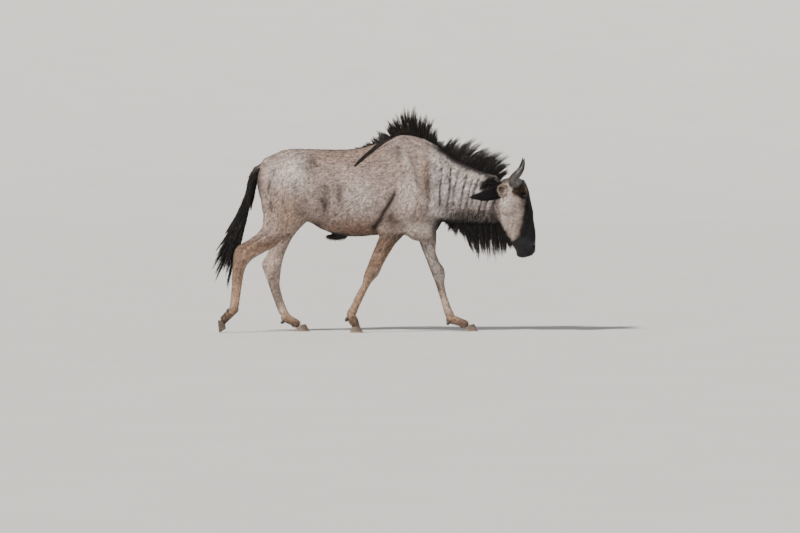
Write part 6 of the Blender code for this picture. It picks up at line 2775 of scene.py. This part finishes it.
@dataclass
class LyingHair:
    """Longer hair that lies on the skin of one side, combed one way."""

    name: str
    corners: tuple[tuple[float, float], ...]
    heading: tuple[float, float]
    length: tuple[float, float]
    count: int
    seed: int
    lift: float
    radius: float
    tone: tuple[float, float, float]
    thinning: float = 1.0
    stray: float = 0.006
    steps: int = 6

    def strands(self, dresser: Hairdresser) -> Strands:
        """Grow the hair on both sides.

        Args:
            dresser: What lays the strands on the skin.

        Returns:
            The strands.
        """
        rng = np.random.default_rng(self.seed)
        a, b, c, d = (np.array(corner) for corner in self.corners)
        u, v = rng.random((2, self.count, 1))
        v = v ** self.thinning
        start = a * (1 - u) * (1 - v) + b * u * (1 - v) + c * u * v + d * (1 - u) * v
        start = start + rng.normal(0.0, self.stray, start.shape)
        way = np.array(self.heading) + rng.normal(0.0, 0.16, (self.count, 2))
        way /= np.linalg.norm(way, axis=1)[:, None]
        reach = rng.uniform(*self.length, (self.count, 1))
        share = np.linspace(0.0, 1.0, self.steps)
        flat = start[:, None, :] + way[:, None, :] * reach[:, :, None] * share[None, :, None]
        side = np.where(rng.random(self.count) < 0.5, -1.0, 1.0)
        lines = np.zeros((self.count, self.steps, 3))
        for hand in (-1.0, 1.0):
            mine = side == hand
            spots = np.stack((flat[mine, :, 0], np.full(flat[mine, :, 0].shape, 0.5 * hand), flat[mine, :, 1]), axis=-1)
            landed = dresser.land(spots.reshape(-1, 3), (0, -hand, 0), 0.0).reshape(spots.shape)
            last = landed[:, 0, 1].copy()
            for step in range(self.steps):
                missed = np.abs(landed[:, step, 1]) > 0.45
                landed[missed, step, 1] = last[missed]
                last = landed[:, step, 1].copy()
            rise = -0.002 + (self.lift + 0.002) * share[None, :] * rng.uniform(0.5, 1.5, (int(mine.sum()), 1))
            landed[..., 1] += hand * rise
            lines[mine] = landed
        kept = np.abs(lines[:, 0, 1]) < 0.45
        return spun(rng, lines, root_places(lines[:, 0]), (self.radius, 0.0002), 0.08, self.tone).only(kept)


@dataclass
class TailBrush:
    """The brush of long hair on the tail, and the short hair on its dock."""

    count: int = 4400
    wisps: int = 34
    dock_count: int = 1300
    steps: int = 8
    locks: Rows = (
        (-1.118, 0.646, -0.985, 0.780), (-1.135, 0.560, -0.995, 0.740), (-1.158, 0.455, -1.010, 0.690),
        (-1.168, 0.390, -1.015, 0.650), (-1.124, 0.357, -1.006, 0.625), (-1.076, 0.317, -0.990, 0.610),
        (-1.028, 0.290, -0.970, 0.615), (-1.000, 0.400, -0.940, 0.640),
    )

    def dock_at(self, share: np.ndarray) -> tuple[np.ndarray, np.ndarray, np.ndarray]:
        """The dock's middle line.

        Args:
            share: How far down the dock, from 0 to 1.

        Returns:
            X, z and radius.
        """
        table = np.array(DOCK_LINE)
        keys = np.linspace(0.0, 1.0, len(table))
        return tuple(np.interp(share, keys, table[:, column]) for column in range(3))

    def strands(self, dresser: Hairdresser) -> Strands:
        """Grow brush and dock hair.

        Args:
            dresser: Not needed, since the dock's line gives the roots.

        Returns:
            The strands.
        """
        rng = np.random.default_rng(303)
        return Strands.together((self.brush(rng), self.dock(rng)))

    def around(self, rng: np.random.Generator, share: np.ndarray) -> tuple[np.ndarray, np.ndarray]:
        """Random roots round the dock.

        Args:
            rng: Random draws.
            share: How far down the dock each one lies.

        Returns:
            The roots and their outward directions.
        """
        x, z, radius = self.dock_at(share)
        angle = rng.uniform(0.0, 2.0 * np.pi, len(share))
        out = np.stack((np.cos(angle) * 0.96, np.sin(angle), -0.15 * np.cos(angle)), axis=-1)
        centre = np.stack((x, np.zeros(len(x)), z), axis=-1)
        return centre + out * (radius * 0.8)[:, None], out

    def brush(self, rng: np.random.Generator) -> Strands:
        """The long hair.

        Args:
            rng: Random draws.

        Returns:
            The strands.
        """
        table = np.array(self.locks)
        count = self.count
        keys = np.arange(len(table))
        spot = rng.uniform(0.0, len(table) - 1.0, count)
        heads = np.sort(rng.uniform(0.0, len(table) - 1.0, self.wisps))
        wisp = np.argmin(np.abs((spot + rng.normal(0.0, 0.12, count))[:, None] - heads[None, :]), axis=1)
        share = np.clip(0.42 + 0.58 * rng.random(count) ** 0.8, 0.0, 1.0)
        root, out = self.around(rng, share)
        pull = rng.uniform(0.5, 0.95, count)[:, None]
        even = np.stack([np.interp(spot, keys, table[:, column]) for column in range(4)], axis=-1)
        ends = np.stack([np.interp(heads, keys, table[:, column]) for column in range(4)], axis=-1)
        ends[:, :2] += rng.normal(0.0, 0.014, (self.wisps, 2))
        goal = even + (ends[wisp] - even) * pull
        length = rng.uniform(0.74, 1.03, self.wisps)[wisp] * (0.48 + 0.52 * rng.random(count) ** 0.5)
        side = rng.uniform(-0.022, 0.022, self.wisps)[wisp] + rng.normal(0.0, 0.008, count)
        middle = np.stack((goal[:, 2], out[:, 1] * 0.034, goal[:, 3]), axis=-1)
        tip = np.stack((goal[:, 0], side, goal[:, 1]), axis=-1)
        full = bent(root, middle + 0.25 * (middle - 0.5 * (root + tip)), tip, 24)
        at = length[:, None] * np.linspace(0.0, 1.0, self.steps)[None, :] * 23.0
        low = np.clip(np.floor(at).astype(int), 0, 22)
        part = (at - low)[:, :, None]
        row = np.arange(count)[:, None]
        lines = full[row, low] * (1.0 - part) + full[row, low + 1] * part
        lines[:, 1:] += rng.normal(0.0, 0.003, (count, self.steps - 1, 3))
        place = BRUSH_CHART.place(spot / (len(table) - 1.0), share)
        return spun(rng, lines, place, (0.0011, 0.00024), 0.05)

    def dock(self, rng: np.random.Generator) -> Strands:
        """The short hair that lies along the dock.

        Args:
            rng: Random draws.

        Returns:
            The strands.
        """
        count = self.dock_count
        share = 0.04 + 0.62 * rng.random(count)
        root, out = self.around(rng, share)
        ahead = np.stack(self.dock_at(np.minimum(share + 0.16, 1.0))[:2], axis=-1)
        tip = np.stack((ahead[:, 0], np.zeros(count), ahead[:, 1]), axis=-1) + out * 0.031
        middle = 0.5 * (root + tip) + out * 0.010
        lines = bent(root, middle, tip + rng.normal(0.0, 0.004, tip.shape), self.steps)
        return spun(rng, lines, BRUSH_CHART.place(share * 0.3, share), (0.0010, 0.00025), 0.10, thinnest=0.8)


@dataclass
class WithersFall:
    """The part of the mane that lies back and down over the right side of the withers."""

    count: int = 2300
    steps: int = 8
    path: Rows = (
        (0.255, 1.402, 0.010), (0.180, 1.398, 0.022), (0.105, 1.370, 0.034), (0.045, 1.330, 0.042),
        (-0.010, 1.288, 0.046), (-0.060, 1.245, 0.044), (-0.100, 1.212, 0.036), (-0.131, 1.187, 0.024),
    )

    def strands(self, dresser: Hairdresser) -> Strands:
        """Grow the fall.

        Args:
            dresser: What keeps the strands on the skin.

        Returns:
            The strands.
        """
        rng = np.random.default_rng(404)
        table = np.array(self.path)
        keys = np.linspace(0.0, 1.0, len(table))
        begin = 0.68 * rng.random(self.count) ** 0.8
        reach = rng.uniform(0.22, 0.46, self.count)
        offset = np.clip(rng.normal(0.0, 0.5, self.count), -1.0, 1.0)
        share = np.clip(begin[:, None] + reach[:, None] * np.linspace(0.0, 1.0, self.steps), 0.0, 1.0)
        x = np.interp(share, keys, table[:, 0])
        z = np.interp(share, keys, table[:, 1])
        half = np.interp(share, keys, table[:, 2]) * offset[:, None]
        x = x + 0.62 * half
        z = z + 0.78 * half + rng.normal(0.0, 0.003, x.shape)
        flat = np.stack((x, np.full_like(x, -0.5), z), axis=-1).reshape(-1, 3)
        lifted = dresser.land(flat, (0, 1, 0), 0.0).reshape(x.shape + (3,))
        missed = lifted[..., 1] < -0.4
        lifted[..., 1] = np.where(missed, -0.004 - 0.02 * rng.random(x.shape), lifted[..., 1])
        top = crest_height(lifted[..., 0]) + 0.006
        lifted[..., 2] = np.minimum(lifted[..., 2], top)
        depth = np.linspace(0.0, 1.0, self.steps)[None, :] * rng.uniform(0.003, 0.012, (self.count, 1)) - 0.002
        lifted[..., 1] -= depth
        return spun(rng, lifted, FALL_CHART.place(begin, 0.5 + 0.5 * offset), (0.00105, 0.00022), 0.12)


LYING_HAIR = (
    LyingHair("throat_hair", ((0.500, 0.785), (0.828, 0.770), (0.828, 0.880), (0.560, 0.890)),
              (0.10, -1.0), (0.030, 0.075), 2000, 501, 0.010, 0.0009, (24, 21, 22), 2.2, 0.010),
    LyingHair("nape_hair", ((0.770, 1.035), (0.880, 1.030), (0.925, 1.095), (0.830, 1.130)),
              (-0.75, -0.65), (0.035, 0.085), 1500, 502, 0.010, 0.0009, (17, 16, 21), 1.0, 0.011),
    LyingHair("face_hair", ((1.030, 0.700), (1.066, 0.700), (1.072, 0.900), (1.058, 0.900)),
              (0.10, -1.0), (0.016, 0.030), 1300, 503, 0.004, 0.0007, (20, 19, 23)),
    LyingHair("brow_hair", ((0.960, 0.985), (1.050, 0.960), (1.045, 1.060), (0.960, 1.055)),
              (0.45, -0.9), (0.018, 0.034), 1300, 504, 0.004, 0.0007, (62, 47, 38)),
)


@dataclass
class EarHair:
    """Pale hair round the mouth of each ear, combed in over its dark hollow."""

    middle: tuple[float, float] = (0.8985, 1.004)
    reach: float = 0.0405
    count: int = 330
    steps: int = 5

    def strands(self, ears: dict[Side, Ear]) -> Strands:
        """Grow the hair of both ears.

        Args:
            ears: The ears.

        Returns:
            The strands.
        """
        rng = np.random.default_rng(606)
        groups = []
        for side, ear in ears.items():
            angle = rng.uniform(0.0, 2.0 * np.pi, self.count)
            gap = 0.5 + 0.5 * np.cos(5.0 * angle + 0.6)
            length = (0.005 + 0.012 * gap) * rng.uniform(0.6, 1.2, self.count)
            ring = self.reach * rng.uniform(0.86, 1.05, self.count)
            around = np.stack((np.cos(angle), np.sin(angle)), axis=-1)
            share = np.linspace(0.0, 1.0, self.steps)
            radius = ring[:, None] - length[:, None] * share[None, :]
            slip = rng.normal(0.0, 0.55, (self.count, 1)) * length[:, None] * share[None, :]
            x = self.middle[0] + around[:, :1] * radius - around[:, 1:] * slip
            z = self.middle[1] + around[:, 1:] * radius + around[:, :1] * slip
            swell = rng.uniform(0.6, 1.3, (self.count, 1))
            depth = 0.006 + 0.012 * np.sin(np.pi * np.clip(share * 0.8, 0, 1))[None, :] * swell
            y = side.value * (self.out_at(ear, x) + depth)
            lines = np.stack((x, y, z), axis=-1)
            thick = rng.uniform(0.8, 1.2, (self.count, 1)) * taper(self.steps, 0.0006, 0.0002)
            colour = screen((178, 162, 143))[None, :] * rng.uniform(0.45, 1.05, (self.count, 1))
            unwrap = EAR_CHARTS[side].place(angle / (2.0 * np.pi), np.full(self.count, 0.1))
            groups.append(Strands(lines, thick, colour, unwrap))
        return Strands.together(groups)

    @staticmethod
    def out_at(ear: Ear, x: np.ndarray) -> np.ndarray:
        """How far out the ear's rim lies at an x."""
        share = np.clip((ear.base[0] - x) / (ear.base[0] - ear.tip[0]), 0.0, 1.0)
        return ear.base[1] + share * (ear.tip[1] - ear.base[1])


@dataclass
class FetlockHair:
    """Short hair that hangs from each pastern over the top of its hoof."""

    count: int = 900
    steps: int = 4
    middles: Rows = ((-0.150, 0.066), (0.655, 0.060), (-0.535, 0.060), (-1.085, 0.112))
    near: float = 0.058
    length: tuple[float, float] = (0.012, 0.026)
    lift: float = 0.0045

    def strands(self, skin: bpy.types.Object) -> Strands:
        """Grow the hair of all four feet.

        Args:
            skin: The skin, in the outline's own X.

        Returns:
            The strands.
        """
        rng = np.random.default_rng(707)
        points = points_of(skin.data)
        normals = normals_of(skin.data)
        lie = read_layer(skin.data, LIE, 3)
        picked = []
        for x, z in self.middles:
            close = np.flatnonzero(np.hypot(points[:, 0] - x, points[:, 2] - z) < self.near)
            picked.append(rng.choice(close, self.count // len(self.middles)))
        pick = np.concatenate(picked)
        root = points[pick] - 0.001 * normals[pick]
        reach = rng.uniform(*self.length, (len(pick), 1))
        way = lie[pick] + rng.normal(0.0, 0.18, (len(pick), 3))
        along = np.linspace(0.0, 1.0, self.steps)[None, :, None]
        rise = self.lift * rng.uniform(0.5, 1.4, (len(pick), 1)) * normals[pick]
        lines = root[:, None] + (way * reach)[:, None] * along + rise[:, None] * np.sqrt(along)
        lines[..., 2] = np.maximum(lines[..., 2], 0.003)
        thick = rng.uniform(0.7, 1.2, (len(pick), 1)) * taper(self.steps, 0.0007, 0.0002)
        colour = Hide().colours(root) * rng.uniform(0.35, 0.95, (len(pick), 1))
        return Strands(lines, thick, colour, root_places(root))


# The studio


@dataclass
class Studio:
    """Pale floor, soft light and the camera at the picture's viewing angle."""

    aim: Point = (0.195, 0.0, 0.461)
    frame_width: float = 5.634
    distance: float = 40.0
    elevation: float = 1.6
    sensor: float = 36.0
    flat: float = 30.0
    rim: float = 85.0
    wall: float = 16.0

    def build(self) -> None:
        """Make floor, lights and camera."""
        floor = self.dish()
        work = Paintwork("floor_paint", {"Roughness": 0.9})
        tones = {0: work.noise(1.2, 2.0), 6: (0.64, 0.63, 0.61, 1.0), 7: (0.69, 0.68, 0.66, 1.0)}
        tone = work.nodes.add("ShaderNodeMix", tones, data_type="RGBA")
        work.material.node_tree.links.new(tone.outputs[2], work.shader.inputs["Base Color"])
        floor.data.materials.append(work.material)
        world = bpy.data.worlds.new("studio_air")
        world.use_nodes = True
        air = world.node_tree.nodes["Background"]
        air.inputs["Color"].default_value = (0.80, 0.83, 0.88, 1.0)
        air.inputs["Strength"].default_value = 0.36
        bpy.context.scene.world = world
        self.sun("key_light", (-0.85, -0.80, 1.10), 5.9, 4.0, (1.0, 0.95, 0.88))
        self.sun("fill_light", (0.9, 0.8, 0.5), 0.5, 40.0, (0.85, 0.92, 1.0))
        lens = self.sensor * self.distance / self.frame_width
        data = bpy.data.cameras.new("camera")
        data.lens = lens
        data.sensor_width = self.sensor
        data.clip_end = 400.0
        camera = bpy.data.objects.new("camera", data)
        bpy.context.scene.collection.objects.link(camera)
        lift = math.radians(self.elevation)
        back = Vector((0.0, -math.cos(lift), math.sin(lift)))
        camera.location = Vector(self.aim) + back * self.distance
        camera.rotation_euler = (-back).to_track_quat("-Z", "Y").to_euler()
        bpy.context.scene.camera = camera

    def dish(self) -> bpy.types.Object:
        """A floor that is flat round the animal and curves up far behind it on every side.

        Returns:
            The floor.
        """
        spokes = 96
        rings = np.concatenate(((0.0, self.flat), np.linspace(self.flat, self.rim, 40)[1:]))
        rise = self.wall * (np.clip(rings - self.flat, 0.0, None) / (self.rim - self.flat)) ** 2
        angle = np.arange(spokes) * 2.0 * np.pi / spokes
        points = [
            np.stack((np.cos(angle) * ring, np.sin(angle) * ring, np.full(spokes, height)), axis=-1)
            for ring, height in zip(rings[1:], rise[1:])
        ]
        faces = [tuple(range(spokes))] + [(a, d, c, b) for a, b, c, d in ring_faces(len(rings) - 1, spokes)]
        item = object_from("floor", np.concatenate(points), faces)
        item.data.shade_smooth()
        return item

    @staticmethod
    def sun(name: str, source: Point, strength: float, spread: float, colour: Point) -> None:
        """Add a soft far light.

        Args:
            name: Its name.
            source: Where it comes from.
            strength: How strong it is.
            spread: Its angular size in degrees.
            colour: Its colour.
        """
        data = bpy.data.lights.new(name, "SUN")
        data.energy = strength
        data.angle = math.radians(spread)
        data.color = colour
        item = bpy.data.objects.new(name, data)
        bpy.context.scene.collection.objects.link(item)
        item.rotation_euler = (-Vector(source)).to_track_quat("-Z", "Y").to_euler()


def main() -> None:
    """Build the whole animal and its studio."""
    logging.basicConfig(level=logging.INFO, format="%(name)s %(message)s")
    eyes = [EyeRegion(side) for side in Side]
    ears = {side: Ear(side) for side in Side}
    parts = [Skin().build()] + [eye.build_lids() for eye in eyes]
    for part in parts:
        Skin.paint(part)
    skin = join_all(parts + [ear.build() for ear in ears.values()], "skin")
    write_layer(skin.data, LENGTH, "FLOAT", coat_length(points_of(skin.data)))
    fur = FurFinish("hide_fur").make()
    hair = StrandFinish("black_hair").make()
    ShortCoat().build(skin, fur)
    dresser = Hairdresser(skin)
    long_hair = (
        ("mane_hair", Mane(), "mane", dresser.part),
        ("withers_hair", WithersFall(), "mane_fall", dresser.whole),
        ("beard_hair", Beard(), "beard", dresser.part),
        ("tail_hair", TailBrush(), "tail_brush", dresser.part),
    )
    for name, growth, node, dress in long_hair:
        for number, piece in enumerate(dress(name, growth.strands(dresser), hair)):
            mount(piece, hair, "hair_black", *(() if number else (node,)))
    for lock in LYING_HAIR:
        mount(dresser.dress(lock.name, lock.strands(dresser), hair), hair, "hair_black")
    mount(dresser.dress("ear_hair", EarHair().strands(ears), hair), hair, "ear_hair")
    mount(dresser.dress("fetlock_hair", FetlockHair().strands(skin), hair), hair, "hide_leg")
    flesh_nodes = ["trunk", "neck", "head", "tail", "ear_right", "ear_left", *LEG_PLANS]
    mount(skin, fur, "hide_grey", *flesh_nodes)
    horn_finish = HardFinish("horn_keratin", (60.0, 60.0, 60.0), 0.50, 0.05).make()
    hoof_finish = HardFinish("hoof_keratin", (300.0, 300.0, 60.0), 0.55, 0.0).make()
    eye_finish = EyeFinish().make()
    for eye in eyes:
        mount(eye.build_ball(), eye_finish, "eye", f"eye_{eye.side.word}")
        mount(Horn(eye.side).build(), horn_finish, "horn", f"horn_{eye.side.word}")
    Feet().build(hoof_finish)
    Studio().build()


if __name__ == "__main__":
    main()
